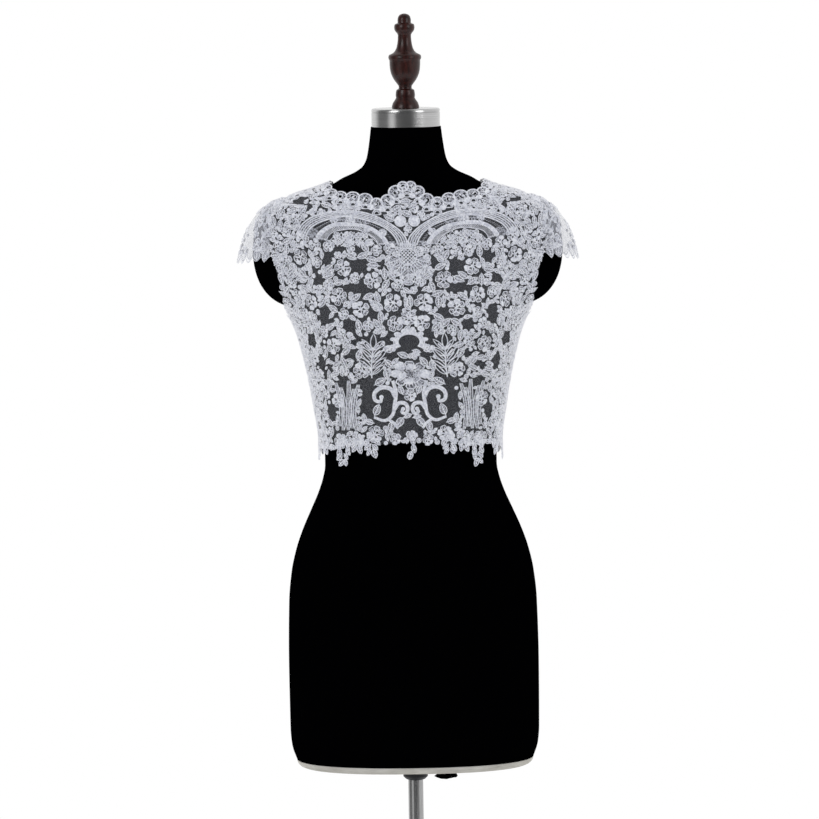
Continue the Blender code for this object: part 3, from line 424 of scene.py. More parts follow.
class Sleeve:
    """A cap sleeve laid out along its seam and from the seam to its edge, in percent of each."""

    def __init__(self, side):
        self.side = side
        self.flip = side > 0

    def seam(self, along):
        """The armhole's edge and the cloth's outward direction there, front to back."""
        height = seam_height(along)
        angle = math.pi / 2 + np.sign(along) * armhole_depth(height)
        start = cloth_point(angle, height, 0.0 * height)
        return start, cloth_point(angle, height, 1.0 + 0.0 * height) - start

    def skin(self, along, down):
        start, _ = self.seam(along)
        turn = along * math.pi / 2
        x = SLEEVE_CENTRE + (SLEEVE_REACH - SLEEVE_CENTRE) * np.cos(turn)
        end = np.stack((x, SLEEVE_HALF_DEPTH * np.sin(turn), SLEEVE_EDGE_HEIGHT + 0 * turn), axis=-1)
        reach = np.array((SLEEVE_FULLNESS, SLEEVE_FULLNESS, SLEEVE_SLOPE))
        bend = start + (end - start) * reach
        start = start + unit(bend - start) * SEAM
        t = down[..., None]
        return (1 - t) ** 2 * start + 2 * t * (1 - t) * bend + t * t * end

    def spot(self, points, lift):
        points = np.asarray(points, float) / 100.0
        along = np.clip(points[..., 0], -1.0, 1.0)
        down = points[..., 1]
        ahead = np.clip(along + SLEEVE_STEP, -1.0, 1.0)
        behind = np.clip(along - SLEEVE_STEP, -1.0, 1.0)
        across = self.skin(ahead, down) - self.skin(behind, down)
        downward = self.skin(along, down + SLEEVE_STEP) - self.skin(along, down - SLEEVE_STEP)
        own = unit(np.cross(downward, across))
        blend = smooth_step(down / SEAM_BLEND)[..., None]
        normal = unit(self.seam(along)[1] * (1 - blend) + own * blend)
        place = self.skin(along, down) + normal * (np.zeros(along.shape) + lift)[..., None]
        return place * np.array((self.side, 1.0, 1.0))

    def inside(self, points):
        return (np.abs(points[..., 0]) < 99.0) & (points[..., 1] > 1.0) & (points[..., 1] < 101.0)


def axes(sheet, spots):
    """How a place on the cloth moves for one unit of each of a sheet's two measures, and how far."""
    spots = np.asarray(spots, float)
    step = np.array((0.5, 0.0))
    rise = np.array((0.0, 0.5))
    across = sheet.spot(spots + step, CLOTH_MIDDLE) - sheet.spot(spots - step, CLOTH_MIDDLE)
    upward = sheet.spot(spots + rise, CLOTH_MIDDLE) - sheet.spot(spots - rise, CLOTH_MIDDLE)
    return across, upward, np.stack((lengths(across), lengths(upward)), axis=-1)


class Stitches:
    """Lace drawn flat in millimetres: cords with a raised ridge, and thin fills between them."""

    def __init__(self):
        self.points = []
        self.threads = []
        self.faces = []
        self.kinds = []
        self.count = 0

    def add(self, points, threads, faces, kinds):
        self.points.append(points)
        self.threads.append(threads)
        self.faces.append(np.asarray(faces) + self.count)
        self.kinds.append(np.broadcast_to(kinds, len(faces)))
        self.count += len(points)

    def join(self, other, turn=0.0, shift=(0.0, 0.0)):
        points, threads, faces, kinds = other.arrays()
        spots = turned_points(points[:, :2], turn) + shift
        self.add(np.column_stack((spots, points[:, 2])), threads, faces, kinds)

    def cord(self, path, width=CORD, closed=False, lift=CORD_LIFT):
        path = np.asarray(path, float)
        if closed:
            tangent = np.roll(path, -1, axis=0) - np.roll(path, 1, axis=0)
            path = np.vstack((path, path[:1]))
            tangent = np.vstack((tangent, tangent[:1]))
        else:
            tangent = np.gradient(path, axis=0)
        half = np.broadcast_to(np.asarray(width, float) / 2, (len(path),))
        side = left_of(tangent) * half[:, None]
        low = np.full(len(path), lift)
        left = np.column_stack((path + side, low))
        ridge = np.column_stack((path, low + 2 * RIDGE * half))
        right = np.column_stack((path - side, low))
        rows = np.stack((left, ridge, right), axis=1)
        run = np.repeat(runs(path)[:, None], 3, axis=1)
        threads = np.stack((np.outer(half, (-1.0, 0.0, 1.0)), run), axis=2)
        start = 3 * np.arange(len(path) - 1)[:, None]
        pattern = ((0, 1, 4), (0, 4, 3), (1, 2, 5), (1, 5, 4))
        faces = np.concatenate([start + np.array(corner) for corner in pattern])
        self.add(rows.reshape(-1, 3), threads.reshape(-1, 2), faces, CORD_KIND)

    def fill(self, outline, middle=None, lift=FILL_LIFT, dome=DOME, kind=FILL_KIND):
        """A thin woven fill inside an outline that runs counter-clockwise."""
        outline = np.asarray(outline, float)
        centre = np.mean(outline, axis=0) if middle is None else np.asarray(middle, float)
        count = len(outline)
        rim = np.column_stack((outline, np.full(count, lift)))
        points = np.vstack((np.append(centre, lift + dome), rim))
        after = np.roll(np.arange(count), -1)
        faces = np.column_stack((np.zeros(count, int), np.arange(count) + 1, after + 1))
        self.add(points, points[:, :2].copy(), faces, kind)

    def knot(self, radius, steps, centre=(0.0, 0.0), lift=FILL_LIFT):
        """A small raised round."""
        self.fill(circle(radius, steps, centre), lift=lift, dome=2 * DOME, kind=CORD_KIND)

    def band(self, first, second, closed=False):
        """A fill between two lines of as many points, the second to the left of the first."""
        count = len(first)
        spots = np.vstack((first, second))
        points = np.column_stack((spots, np.full(len(spots), FILL_LIFT)))
        here = np.arange(count if closed else count - 1)
        after = (here + 1) % count
        one = np.column_stack((here, after, after + count))
        two = np.column_stack((here, after + count, here + count))
        self.add(points, spots.copy(), np.vstack((one, two)), FILL_KIND)

    def arrays(self):
        return [np.concatenate(rows) for rows in (self.points, self.threads, self.faces, self.kinds)]


def left_of(directions):
    """Unit vectors to the left of flat directions."""
    ahead = unit(directions)
    return np.column_stack((-ahead[:, 1], ahead[:, 0]))


def turned_points(points, turn):
    cos, sin = math.cos(turn), math.sin(turn)
    return points @ np.array(((cos, sin), (-sin, cos)))


def mirrored(turn, side):
    """A turn in radians from degrees, mirrored on the right side."""
    lean = math.radians(turn)
    return lean if side > 0 else math.pi - lean


def polar(radius, turn):
    return np.stack((radius * np.cos(turn), radius * np.sin(turn)), axis=-1)


def circle(radius, steps, centre=(0.0, 0.0)):
    return centre + polar(radius, np.linspace(0.0, math.tau, steps, endpoint=False))


def spline(points, steps):
    """A smooth line through a few points."""
    points = np.asarray(points, float)
    places = runs(points)
    tangents = np.gradient(points, places, axis=0)
    at = np.linspace(0.0, places[-1], steps)
    index = np.clip(np.searchsorted(places, at, side="right") - 1, 0, len(points) - 2)
    span = (places[index + 1] - places[index])[:, None]
    t = ((at - places[index]) / span[:, 0])[:, None]
    start = (1 + 2 * t) * (1 - t) ** 2 * points[index] + t * (1 - t) ** 2 * span * tangents[index]
    end = t * t * (3 - 2 * t) * points[index + 1] + t * t * (t - 1) * span * tangents[index + 1]
    return start + end


# Outline of a petal: share of its reach, and of half its room to either side
PETAL = np.array(
    (
        (0.4, -0.42), (0.58, -0.78), (0.81, -0.84), (0.97, -0.46), (0.94, 0.0),
        (0.97, 0.46), (0.81, 0.84), (0.58, 0.78), (0.4, 0.42),
    )
)
SOLID_PETALS = 0.45


def petal_ring(lace, radius, petals, start=0.0, lift=0.0, cord=CORD, veins=True, seed=0):
    """Outlined petals round a middle, none quite like the next."""
    half = math.pi / petals
    random = np.random.default_rng(seed)
    for number in range(petals):
        turn = start + math.tau * number / petals + half * random.uniform(-0.25, 0.25)
        size = radius * random.uniform(0.74, 1.08)
        reach = size * PETAL[:, 0] + (radius - size) * 0.4
        outline = polar(reach, turn + half * PETAL[:, 1])
        solid = random.uniform() < SOLID_PETALS
        kind = CORD_KIND if solid else FILL_KIND
        lace.fill(outline, polar(0.7 * size, turn), FILL_LIFT + lift, kind=kind)
        lace.cord(outline, cord * random.uniform(0.7, 1.3), lift=CORD_LIFT + lift)
        for lean in (-0.34, 0.34) if veins and not solid else ():
            vein = polar(size * np.array((0.46, 0.8)), turn + half * lean * np.array((0.5, 1.0)))
            lace.cord(vein, THIN_CORD, lift=CORD_LIFT + lift + 0.1)


def flower(radius, petals, seed=0):
    """An open flower: outlined petals on uneven spokes from a knot, with specks of net between them."""
    lace = Stitches()
    random = np.random.default_rng(seed + 50)
    petal_ring(lace, radius, petals, veins=radius > 7.0, seed=seed)
    for number in range(petals):
        turn = math.tau * (number + random.uniform(-0.2, 0.2)) / petals
        spoke = polar(radius * np.array((0.05, 0.3, 0.55)), turn + np.array((0.0, 0.1, 0.0)))
        lace.cord(spoke, CORD * random.uniform(0.9, 1.7))
    lace.knot(0.17 * radius, 7, random.uniform(-0.06, 0.06, 2) * radius)
    return lace


def rose(radius):
    """A full flower of three rings of petals."""
    lace = Stitches()
    petal_ring(lace, radius, 8, seed=1)
    petal_ring(lace, 0.68 * radius, 6, 0.3, 0.5, veins=False, seed=2)
    petal_ring(lace, 0.4 * radius, 5, 0.6, 1.0, THIN_CORD, veins=False, seed=3)
    lace.fill(circle(0.14 * radius, 8), lift=FILL_LIFT + 1.2, dome=2 * DOME)
    return lace


def sprig(radius, petals, leaves, seed):
    """A flower with leaves that reach out from under it, and the round places that it takes up."""
    random = np.random.default_rng(seed)
    lace = Stitches()
    discs = [(0.0, 0.0, 0.94 * radius)]
    start = random.uniform(0.0, math.tau)
    for number in range(leaves):
        turn = start + math.tau * (number + random.uniform(-0.2, 0.2)) / leaves
        length = random.uniform(12.0, 16.0)
        shift = polar(radius + 0.42 * length, turn)
        lace.join(leaf(length, 0.46 * length), turn, shift)
        discs.append((*shift, 0.3 * length))
    lace.join(flower(radius, petals, seed))
    return lace, discs


LEAF_SHARES = np.linspace(0.0, 1.0, 7)


def leaf(length, width, veins=3, blunt=0.85, woven=True):
    """A leaf along the first axis, with a rib and slanting veins; a lower bluntness rounds its ends."""
    lace = Stitches()
    x = length * (LEAF_SHARES - 0.5)
    y = width / 2 * np.sin(math.pi * LEAF_SHARES**0.85) ** blunt
    outline = np.vstack((np.column_stack((x, -y)), np.column_stack((x, y))[-2:0:-1]))
    if woven:
        lace.fill(outline, (0.0, 0.0))
    lace.cord(outline, closed=True)
    if not woven:
        return lace
    lace.cord([(-0.62 * length, 0.0), (0.0, 0.0), (0.4 * length, 0.0)], lift=CORD_LIFT + 0.2)
    for number in range(veins):
        foot = length * (-0.3 + 0.6 * number / veins)
        for side in (-1, 1):
            lace.cord([(foot, 0.0), (foot + 0.2 * length, side * 0.3 * width)], THIN_CORD)
    return lace


def eyelet(radius, hole):
    """A round loop with an open middle."""
    lace = Stitches()
    inner, outer = circle(hole, 14), circle(radius, 14)
    lace.band(outer, inner, closed=True)
    lace.cord(outer, closed=True)
    lace.cord(inner, closed=True)
    return lace


def scallop(radius, seed):
    """One lobe of the neck's border: a bold round edge, a woven rim and an uneven knotted middle."""
    random = np.random.default_rng(seed)
    lace = Stitches()
    edge = circle(radius, 20)
    turns = np.linspace(0.0, math.tau, 20, endpoint=False)
    uneven = 1 + random.uniform(0.1, 0.22) * np.sin(2 * turns + random.uniform(0.0, math.tau))
    inner = polar(0.42 * radius * uneven, turns) + random.uniform(-0.14, 0.14, 2) * radius
    lace.band(edge, inner, closed=True)
    lace.cord(edge, 1.1 * BOLD_CORD, closed=True)
    lace.cord(inner, THIN_CORD * random.uniform(0.7, 1.3), closed=True)
    for turn in random.uniform(0.0, math.tau, 5):
        spoke = polar(radius * np.array((0.5, 0.7, 0.9)), turn + np.array((0.0, 0.15, 0.1)))
        lace.cord(spoke, THIN_CORD)
    for knot in random.uniform(-0.3, 0.3, (3, 2)) * radius:
        lace.knot(0.17 * radius, 6, knot)
        lace.cord([knot, knot * random.uniform(1.6, 2.4)], THIN_CORD * random.uniform(0.9, 1.6))
    return lace


def moon(radius):
    """A small arch over a half-moon of open net."""
    lace = Stitches()
    turns = np.radians(np.linspace(-12.0, 192.0, 11))
    outer, inner = polar(radius, turns), polar(0.62 * radius, turns)
    lace.band(outer, inner)
    lace.cord(outer, 1.2 * CORD)
    lace.cord(inner)
    lace.cord([outer[0], (0.0, -0.3 * radius), outer[-1]])
    return lace


def disc(radius):
    lace = Stitches()
    rim = circle(radius, 14)
    lace.fill(rim, dome=3 * DOME, kind=CORD_KIND)
    lace.cord(rim, closed=True)
    return lace


def fern(length, pairs, leaf_length, leaf_width):
    """A stem along the first axis with open leaves in pairs and one at its tip."""
    lace = Stitches()
    random = np.random.default_rng(SEED)
    lace.cord([(-length / 2, 0.0), (0.0, 1.0), (length / 2, 0.0)], 1.4 * CORD)
    for number in range(pairs):
        share = number / pairs
        for side in (-1, 1):
            size = (1 - 0.3 * share**2) * random.uniform(0.82, 1.08)
            turn = side * math.radians(random.uniform(38.0, 56.0))
            long = leaf_length * size
            foot = length * (share - 0.4) + random.uniform(-1.2, 1.2)
            blade = leaf(long, leaf_width * size * random.uniform(0.8, 1.15), 0, 0.7, False)
            blade.cord([(-0.5 * long, 0.0), (0.1 * long, 0.0)], CORD * random.uniform(0.8, 1.8))
            lace.join(blade, turn, (foot, 0.0) + polar(0.5 * long + 0.6, turn))
    tip = leaf(0.8 * leaf_length, leaf_width, 0, woven=False)
    lace.join(tip, 0.0, (length / 2 + 0.3 * leaf_length, 0.0))
    return lace


MEDALLION_FAN = ((198, 22, 15), (342, 22, 15), (232, 24, 15), (308, 24, 15), (270, 26, 17))


def medallion(radius):
    """A round hatched with two sets of slanting cords, inside a ring of small leaves and over a fan."""
    lace = Stitches()
    for number in range(7):
        turn = math.pi * (number + 0.5) / 7
        lace.join(leaf(10.0, 6.0, 2), turn, polar(radius + 4.5, turn))
    for degrees, length, width in MEDALLION_FAN:
        turn = math.radians(degrees)
        lace.join(leaf(length, width, 4, 0.6), turn, polar(radius + 0.4 * length, turn))
    lace.cord(circle(radius, 20), 1.2 * CORD, closed=True)
    for turn in (math.radians(45), math.radians(-45)):
        for offset in np.linspace(-0.72, 0.72, 6) * radius:
            reach = math.sqrt(radius**2 - offset**2)
            lace.cord(turned_points(np.array(((-reach, offset), (reach, offset))), turn))
    return lace


class Lacework:
    """The lace of one panel: motifs sewn on at places, kept apart from each other and from the gaps."""

    def __init__(self, sheet, seed):
        self.sheet = sheet
        self.random = np.random.default_rng(seed)
        self.sewn = []
        self.centres = np.zeros((0, 3))
        self.radii = np.zeros(0)

    def keep(self, places, radii):
        self.centres = np.vstack((self.centres, places))
        self.radii = np.append(self.radii, np.broadcast_to(radii, len(places)))

    def reserve(self, spots, radii):
        """Keeps round places clear of scattered motifs."""
        self.keep(self.sheet.spot(np.atleast_2d(spots), CLOTH_MIDDLE), radii)

    def reserve_gap(self, spot, row, side):
        """Keeps an oval gap clear, as a short row of round places."""
        scale = axes(self.sheet, [spot])[2][0]
        long, short = max(row.width, row.length), min(row.width, row.length)
        upright = math.pi / 2 if row.length >= row.width else 0.0
        lean = upright - math.radians(row.tilt) * side
        for share in (-1, 0, 1):
            offset = share * (long - short) / 2 * np.array((math.cos(lean), math.sin(lean)))
            self.reserve(np.asarray(spot) + offset / scale, short / 2)

    def sew(self, motif, spot, turn=0.0, flip=1, flat=False):
        self.sewn.append((motif, np.asarray(spot, float), turn, flip, flat))

    def place(self, motif, spot, radius, turn=0.0):
        """Sews a motif on and keeps its place clear."""
        self.sew(motif, spot, turn)
        self.reserve(spot, radius)

    def draw(self, motif):
        """Sews on stitches that are drawn in the sheet's own measures."""
        self.sew(motif, (0.0, 0.0), flat=True)

    def clear(self, places, radius, gap):
        away = lengths(places[:, None] - self.centres[None])
        return bool((away > (radius[:, None] + self.radii[None]) + gap).all())

    def scatter(self, motifs, discs, tries, gap, low, high, mirror, edge=0.5, turns=3):
        """Throws motifs on to the free cloth; discs are the round places that each one takes up."""
        discs = np.asarray(discs, float)
        spots = self.random.uniform(low, high, (tries, 2))
        across, upward, scale = axes(self.sheet, spots)
        across = across / scale[:, :1]
        upward = upward / scale[:, 1:]
        base = self.sheet.spot(spots, CLOTH_MIDDLE)
        ok = self.sheet.inside(spots)
        reach = edge * max(np.hypot(discs[:, 0], discs[:, 1]) + discs[:, 2])
        for offset in circle(reach, 8):
            ok &= self.sheet.inside(spots + offset / scale)
        if mirror:
            ok &= spots[:, 0] > discs[:, 2].max() + gap / 2
        for index in np.flatnonzero(ok):
            for _ in range(turns):
                turn = self.random.uniform(0.0, math.tau)
                offsets = turned_points(discs[:, :2], turn)
                places = base[index] + offsets[:, :1] * across[index] + offsets[:, 1:] * upward[index]
                if not self.clear(places, discs[:, 2], gap):
                    continue
                motif = motifs[self.random.integers(len(motifs))]
                self.sew(motif, spots[index], turn)
                self.keep(places, discs[:, 2])
                if mirror:
                    self.sew(motif, spots[index] * (-1, 1), math.pi - turn, -1)
                    self.keep(places * (-1, 1, 1), discs[:, 2])
                break

    def build(self, name, materials):
        laid = Stitches()
        scales = axes(self.sheet, [sewn[1] for sewn in self.sewn])[2]
        drawn = {}
        for (motif, spot, turn, flip, flat), scale in zip(self.sewn, scales):
            if id(motif) not in drawn:
                drawn[id(motif)] = motif.arrays()
            points, threads, faces, kinds = drawn[id(motif)]
            offset = turned_points(points[:, :2] * (1, flip), turn)
            placed = offset if flat else spot + offset / scale
            laid.add(np.column_stack((placed, points[:, 2])), threads, faces[:, ::flip], kinds)
        points, threads, faces, kinds = laid.arrays()
        if self.sheet.flip:
            faces = faces[:, ::-1]
        placed = self.sheet.spot(points[:, :2], points[:, 2])
        return make_piece(name, placed, faces, materials, kinds, threads)


def make_piece(name, points, faces, materials, kinds=None, threads=None, stage=False):
    """A mesh from arrays of points in millimetres and of triangles, with thread measures as its UV map."""
    mesh = bpy.data.meshes.new(name)
    faces = np.ascontiguousarray(faces, np.int32)
    mesh.vertices.add(len(points))
    mesh.loops.add(faces.size)
    mesh.polygons.add(len(faces))
    mesh.vertices.foreach_set("co", np.ascontiguousarray(points * MM, np.float32).ravel())
    mesh.loops.foreach_set("vertex_index", faces.ravel())
    mesh.polygons.foreach_set("loop_start", np.arange(0, faces.size, 3, dtype=np.int32))
    if kinds is not None:
        mesh.polygons.foreach_set("material_index", kinds.astype(np.int32))
    mesh.update(calc_edges=True)
    mesh.shade_smooth()
    if threads is not None:
        layer = mesh.uv_layers.new(name="threads")
        layer.data.foreach_set("uv", np.ascontiguousarray(threads[faces.ravel()], np.float32).ravel())
    for material in materials:
        mesh.materials.append(material)
    piece = bpy.data.objects.new(name, mesh)
    bpy.context.scene.collection.objects.link(piece)
    if stage:
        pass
    else:
        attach(piece, "root")
    return piece


def grid_faces(rows, columns, wrap=False):
    """Triangles of a grid of points, row by row."""
    i, j = np.meshgrid(np.arange(rows - 1), np.arange(columns if wrap else columns - 1), indexing="ij")
    here = (i * columns + j).ravel()
    beside = (i * columns + (j + 1) % columns).ravel()
    one = np.column_stack((here, beside, beside + columns))
    two = np.column_stack((here, beside + columns, here + columns))
    return np.vstack((one, two))


def closed_rings(name, rings, material):
    """A closed skin through rings from bottom to top."""
    rings = np.asarray(rings, float)
    rows, columns, _ = rings.shape
    faces = grid_faces(rows, columns, wrap=True)
    points = np.vstack((rings.reshape(-1, 3), rings[0].mean(axis=0), rings[-1].mean(axis=0)))
    foot, top = rows * columns, rows * columns + 1
    here = np.arange(columns)
    after = np.roll(here, -1)
    low = np.column_stack((np.full(columns, foot), after, here))
    shift = (rows - 1) * columns
    high = np.column_stack((np.full(columns, top), here + shift, after + shift))
    return make_piece(name, points, np.vstack((faces, low, high)), [material])


TURNED_STEPS = 72


def turned_piece(name, profile, material):
    """A piece turned about the Z axis from a profile of radius and height that runs up its side."""
    level = np.ones(TURNED_STEPS)
    rings = [np.column_stack((circle(radius, TURNED_STEPS), height * level)) for radius, height in profile]
    return closed_rings(name, rings, material)


# Materials


def configure(node, settings):
    for name, value in settings.items():
        if hasattr(node, name):
            setattr(node, name, value)
        else:
            node.inputs[name.replace("_", " ")].default_value = value


def new_material(name, **settings):
    """A material with constant shader settings, its node tree and its shader."""
    material = bpy.data.materials.new(name)
    material.use_nodes = True
    shader = material.node_tree.nodes["Principled BSDF"]
    configure(shader, settings)
    return material, material.node_tree, shader


def add_node(tree, kind, **settings):
    node = tree.nodes.new(kind)
    configure(node, settings)
    return node


def coordinates(tree, output="Object", **settings):
    source = add_node(tree, "ShaderNodeTexCoord")
    mapping = add_node(tree, "ShaderNodeMapping", **settings)
    tree.links.new(source.outputs[output], mapping.inputs["Vector"])
    return mapping.outputs["Vector"]


def ramp(tree, source, stops):
    node = add_node(tree, "ShaderNodeValToRGB")
    while len(node.color_ramp.elements) < len(stops):
        node.color_ramp.elements.new(0.5)
    for element, (place, colour) in zip(node.color_ramp.elements, stops):
        element.position = place
        element.color = (*colour, 1.0) if isinstance(colour, tuple) else (colour, colour, colour, 1.0)
    tree.links.new(source, node.inputs["Fac"])
    return node.outputs["Color"]


def noise(tree, vector, scale, detail=2.0):
    node = add_node(tree, "ShaderNodeTexNoise", Scale=scale, Detail=detail)
    tree.links.new(vector, node.inputs["Vector"])
    return node.outputs["Fac"]


def wave(tree, vector, scale, distortion=0.0, direction="X"):
    node = add_node(tree, "ShaderNodeTexWave", bands_direction=direction, Scale=scale, Distortion=distortion)
    tree.links.new(vector, node.inputs["Vector"])
    return node.outputs["Fac"]


def bump(tree, shader, source, distance, strength):
    node = add_node(tree, "ShaderNodeBump", Distance=distance, Strength=strength)
    tree.links.new(source, node.inputs["Height"])
    tree.links.new(node.outputs["Normal"], shader.inputs["Normal"])


def math_node(tree, operation, *values):
    node = add_node(tree, "ShaderNodeMath", operation=operation)
    for socket, value in zip(node.inputs, values):
        if isinstance(value, (int, float)):
            socket.default_value = value
        else:
            tree.links.new(value, socket)
    return node.outputs["Value"]


def cord_material():
    material, tree, shader = new_material("lace_cord", Roughness=0.5, Sheen_Weight=0.25)
    tones = ((0.32, (0.6, 0.61, 0.67)), (0.64, (0.94, 0.94, 0.96)))
    tree.links.new(ramp(tree, noise(tree, coordinates(tree), 360.0), tones), shader.inputs["Base Color"])
    twist = wave(tree, coordinates(tree, "UV"), 0.33, direction="DIAGONAL")
    bump(tree, shader, twist, 0.0003, 0.7)
    return material


def fill_material():
    material, tree, shader = new_material("lace_fill", Roughness=0.7)
    place = coordinates(tree)
    tones = ((0.3, (0.52, 0.53, 0.6)), (0.7, (0.78, 0.79, 0.84)))
    tree.links.new(ramp(tree, noise(tree, place, 300.0), tones), shader.inputs["Base Color"])
    weave = wave(tree, coordinates(tree, "UV"), 0.42)
    bump(tree, shader, weave, 0.0002, 0.6)
    holes = ramp(tree, noise(tree, place, 430.0, 1.0), ((0.4, 0.08), (0.56, 0.78)))
    stripes = ramp(tree, weave, ((0.1, 0.5), (0.5, 1.0)))
    tree.links.new(math_node(tree, "MULTIPLY", holes, stripes), shader.inputs["Alpha"])
    return material


def net_material(name, low, high):
    """Slanting threads that cross; low is how opaque the net is between them, and high on them."""
    material, tree, shader = new_material(name, Roughness=0.8, Base_Color=(0.82, 0.83, 0.88, 1.0))
    threads = []
    for lean in (60.0, -60.0):
        slant = coordinates(tree, "UV", Rotation=(0.0, 0.0, math.radians(lean)))
        threads.append(wave(tree, slant, 0.3))
    both = math_node(tree, "MAXIMUM", *threads)
    tree.links.new(ramp(tree, both, ((0.75, low), (1.0, high))), shader.inputs["Alpha"])
    return material


def jersey_material():
    material, tree, shader = new_material("black_jersey_knit", Roughness=0.95, Specular_IOR_Level=0.0)
    ribs = wave(tree, coordinates(tree), 220.0, 1.5)
    tones = ((0.2, (0.0002, 0.0002, 0.0003)), (0.8, (0.0006, 0.0006, 0.0008)))
    tree.links.new(ramp(tree, ribs, tones), shader.inputs["Base Color"])
    bump(tree, shader, ribs, 0.0003, 0.4)
    return material


def board_material():
    material, tree, shader = new_material("cream_board_edge", Roughness=0.8)
    place = coordinates(tree, Scale=(1.0, 1.0, 3.0))
    tones = ((0.3, (0.42, 0.4, 0.35)), (0.7, (0.58, 0.56, 0.5)))
    tree.links.new(ramp(tree, noise(tree, place, 40.0, 6.0), tones), shader.inputs["Base Color"])
    bump(tree, shader, noise(tree, place, 900.0), 0.0003, 0.5)
    return material


def grained_material(name, stretch, scale, detail, dark, light, gloss, relief, **settings):
    """A material whose colour, gloss and relief all follow one fine grain."""
    material, tree, shader = new_material(name, **settings)
    grain = noise(tree, coordinates(tree, Scale=stretch), scale, detail)
    tree.links.new(ramp(tree, grain, ((0.3, dark), (0.7, light))), shader.inputs["Base Color"])
    smooth, rough = gloss
    tree.links.new(ramp(tree, grain, ((0.2, smooth), (0.8, rough))), shader.inputs["Roughness"])
    bump(tree, shader, grain, 0.0002, relief)
    return material


cord_finish = cord_material()
fill_finish = fill_material()
net_finish = net_material("bodice_net", 0.02, 0.17)
tulle_finish = net_material("sleeve_tulle", 0.22, 0.55)
jersey = jersey_material()
board = board_material()
BRUSHED = {"scale": 60.0, "detail": 4.0, "relief": 0.15, "Metallic": 1.0}
satin_steel = grained_material(
    "satin_cap_metal", (0.4, 0.4, 40.0), dark=0.5, light=0.62, gloss=(0.14, 0.26), **BRUSHED
)
pole_steel = grained_material(
    "pole_metal", (30.0, 30.0, 1.0), dark=0.4, light=0.5, gloss=(0.1, 0.22), **BRUSHED
)
wood = grained_material(
    "dark_turned_wood",
    (1.0, 1.0, 0.2),
    320.0,
    5.0,
    dark=(0.006, 0.001, 0.0006),
    light=(0.045, 0.006, 0.003),
    gloss=(0.3, 0.45),
    relief=0.3,
    Coat_Weight=0.15,
    Coat_Roughness=0.15,
    Specular_IOR_Level=0.3,
)
black_paint = grained_material(
    "black_stand_metal",
    (1.0, 1.0, 1.0),
    700.0,
    3.0,
    dark=(0.014, 0.014, 0.016),
    light=(0.03, 0.03, 0.033),
    gloss=(0.38, 0.55),
    relief=0.3,
    Metallic=0.4,
)

# The form and its stand: profiles are radius and height, or for the band inset and height
SKIN_TURNS = np.linspace(-math.pi, math.pi, 160, endpoint=False)
SKIN_STEP = 6.0
SKIN_FINE_FROM = 1250.0
SKIN_FINE_STEP = 2.5
SHARP_EDGE = math.radians(35)
BAND = (
    (14.0, 640.0), (9.0, 640.4), (6.5, 641.1), (4.5, 642.0),
    (2.6, 643.6), (1.2, 645.5), (0.4, 647.6), (0.0, 649.7),
)
FINIAL = (
    (0.0, 1510.3), (18.0, 1510.3), (17.8, 1513.0), (16.6, 1517.0), (13.8, 1521.0),
    (12.2, 1524.0), (12.7, 1526.2), (12.6, 1528.5), (12.3, 1531.5), (11.6, 1534.0),
    (8.8, 1535.6), (8.4, 1537.0), (8.8, 1539.6), (11.4, 1543.0), (14.4, 1547.0),
    (16.6, 1551.0), (18.6, 1556.0), (19.6, 1561.0), (20.1, 1567.0), (20.2, 1573.0),
    (21.2, 1574.6), (21.6, 1576.5), (21.3, 1578.6), (20.4, 1580.0), (15.4, 1582.4),
    (12.8, 1585.0), (10.8, 1589.0), (9.6, 1594.0), (8.8, 1600.0), (8.6, 1606.0),
    (9.8, 1608.4), (11.8, 1610.5), (13.0, 1613.0), (13.4, 1615.5), (13.2, 1618.0),
    (12.4, 1620.0), (9.2, 1621.4), (8.6, 1622.5), (8.8, 1625.4), (8.4, 1628.0),
    (7.4, 1630.6), (5.5, 1632.5), (3.0, 1633.6), (0.0, 1634.0),
)
CAP = (
    (0.0, 1486.3), (45.0, 1486.3), (45.0, 1504.6), (44.5, 1505.0), (44.5, 1505.6),
    (45.0, 1506.0), (45.0, 1507.5), (44.6, 1508.9), (43.8, 1509.7), (42.5, 1510.0), (0.0, 1510.0),
)
COLLAR = (
    (0.0, 620.0), (12.8, 620.0), (16.3, 623.5), (16.3, 637.6),
    (15.6, 638.6), (15.6, 639.7), (0.0, 639.7),
)
POLE = ((0.0, 44.3), (9.4, 44.3), (10.0, 44.9), (10.0, 619.1), (9.4, 619.7), (0.0, 619.7))
STAND_BASE = (
    (0.0, 0.0), (188.5, 0.0), (190.0, 1.5), (190.0, 5.0), (189.4, 7.2), (188.0, 9.0),
    (185.4, 10.9), (182.0, 12.0), (34.0, 12.0), (29.5, 13.2), (26.0, 15.8), (24.0, 20.0),
    (24.0, 41.0), (23.2, 42.9), (21.0, 44.0), (0.0, 44.0),
)


def form_ring(level, height, inset=0.0):
    """A ring of points at a height, inset from the form's outline at a level."""
    radius = form_radius(SKIN_TURNS, np.full_like(SKIN_TURNS, level)) - inset
    return round_point(SKIN_TURNS, height, radius)


def form_pieces():
    coarse = np.arange(BAND_TOP, SKIN_FINE_FROM, SKIN_STEP)
    levels = np.concatenate((coarse, np.arange(SKIN_FINE_FROM, NECK_TOP, SKIN_FINE_STEP), [NECK_TOP]))
    skin = closed_rings("jersey_skin", [form_ring(level, level) for level in levels], jersey)
    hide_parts("torso")
    edge = closed_rings("board_edge", [form_ring(BAND_TOP, height, inset) for inset, height in BAND], board)
    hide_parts("base_band")


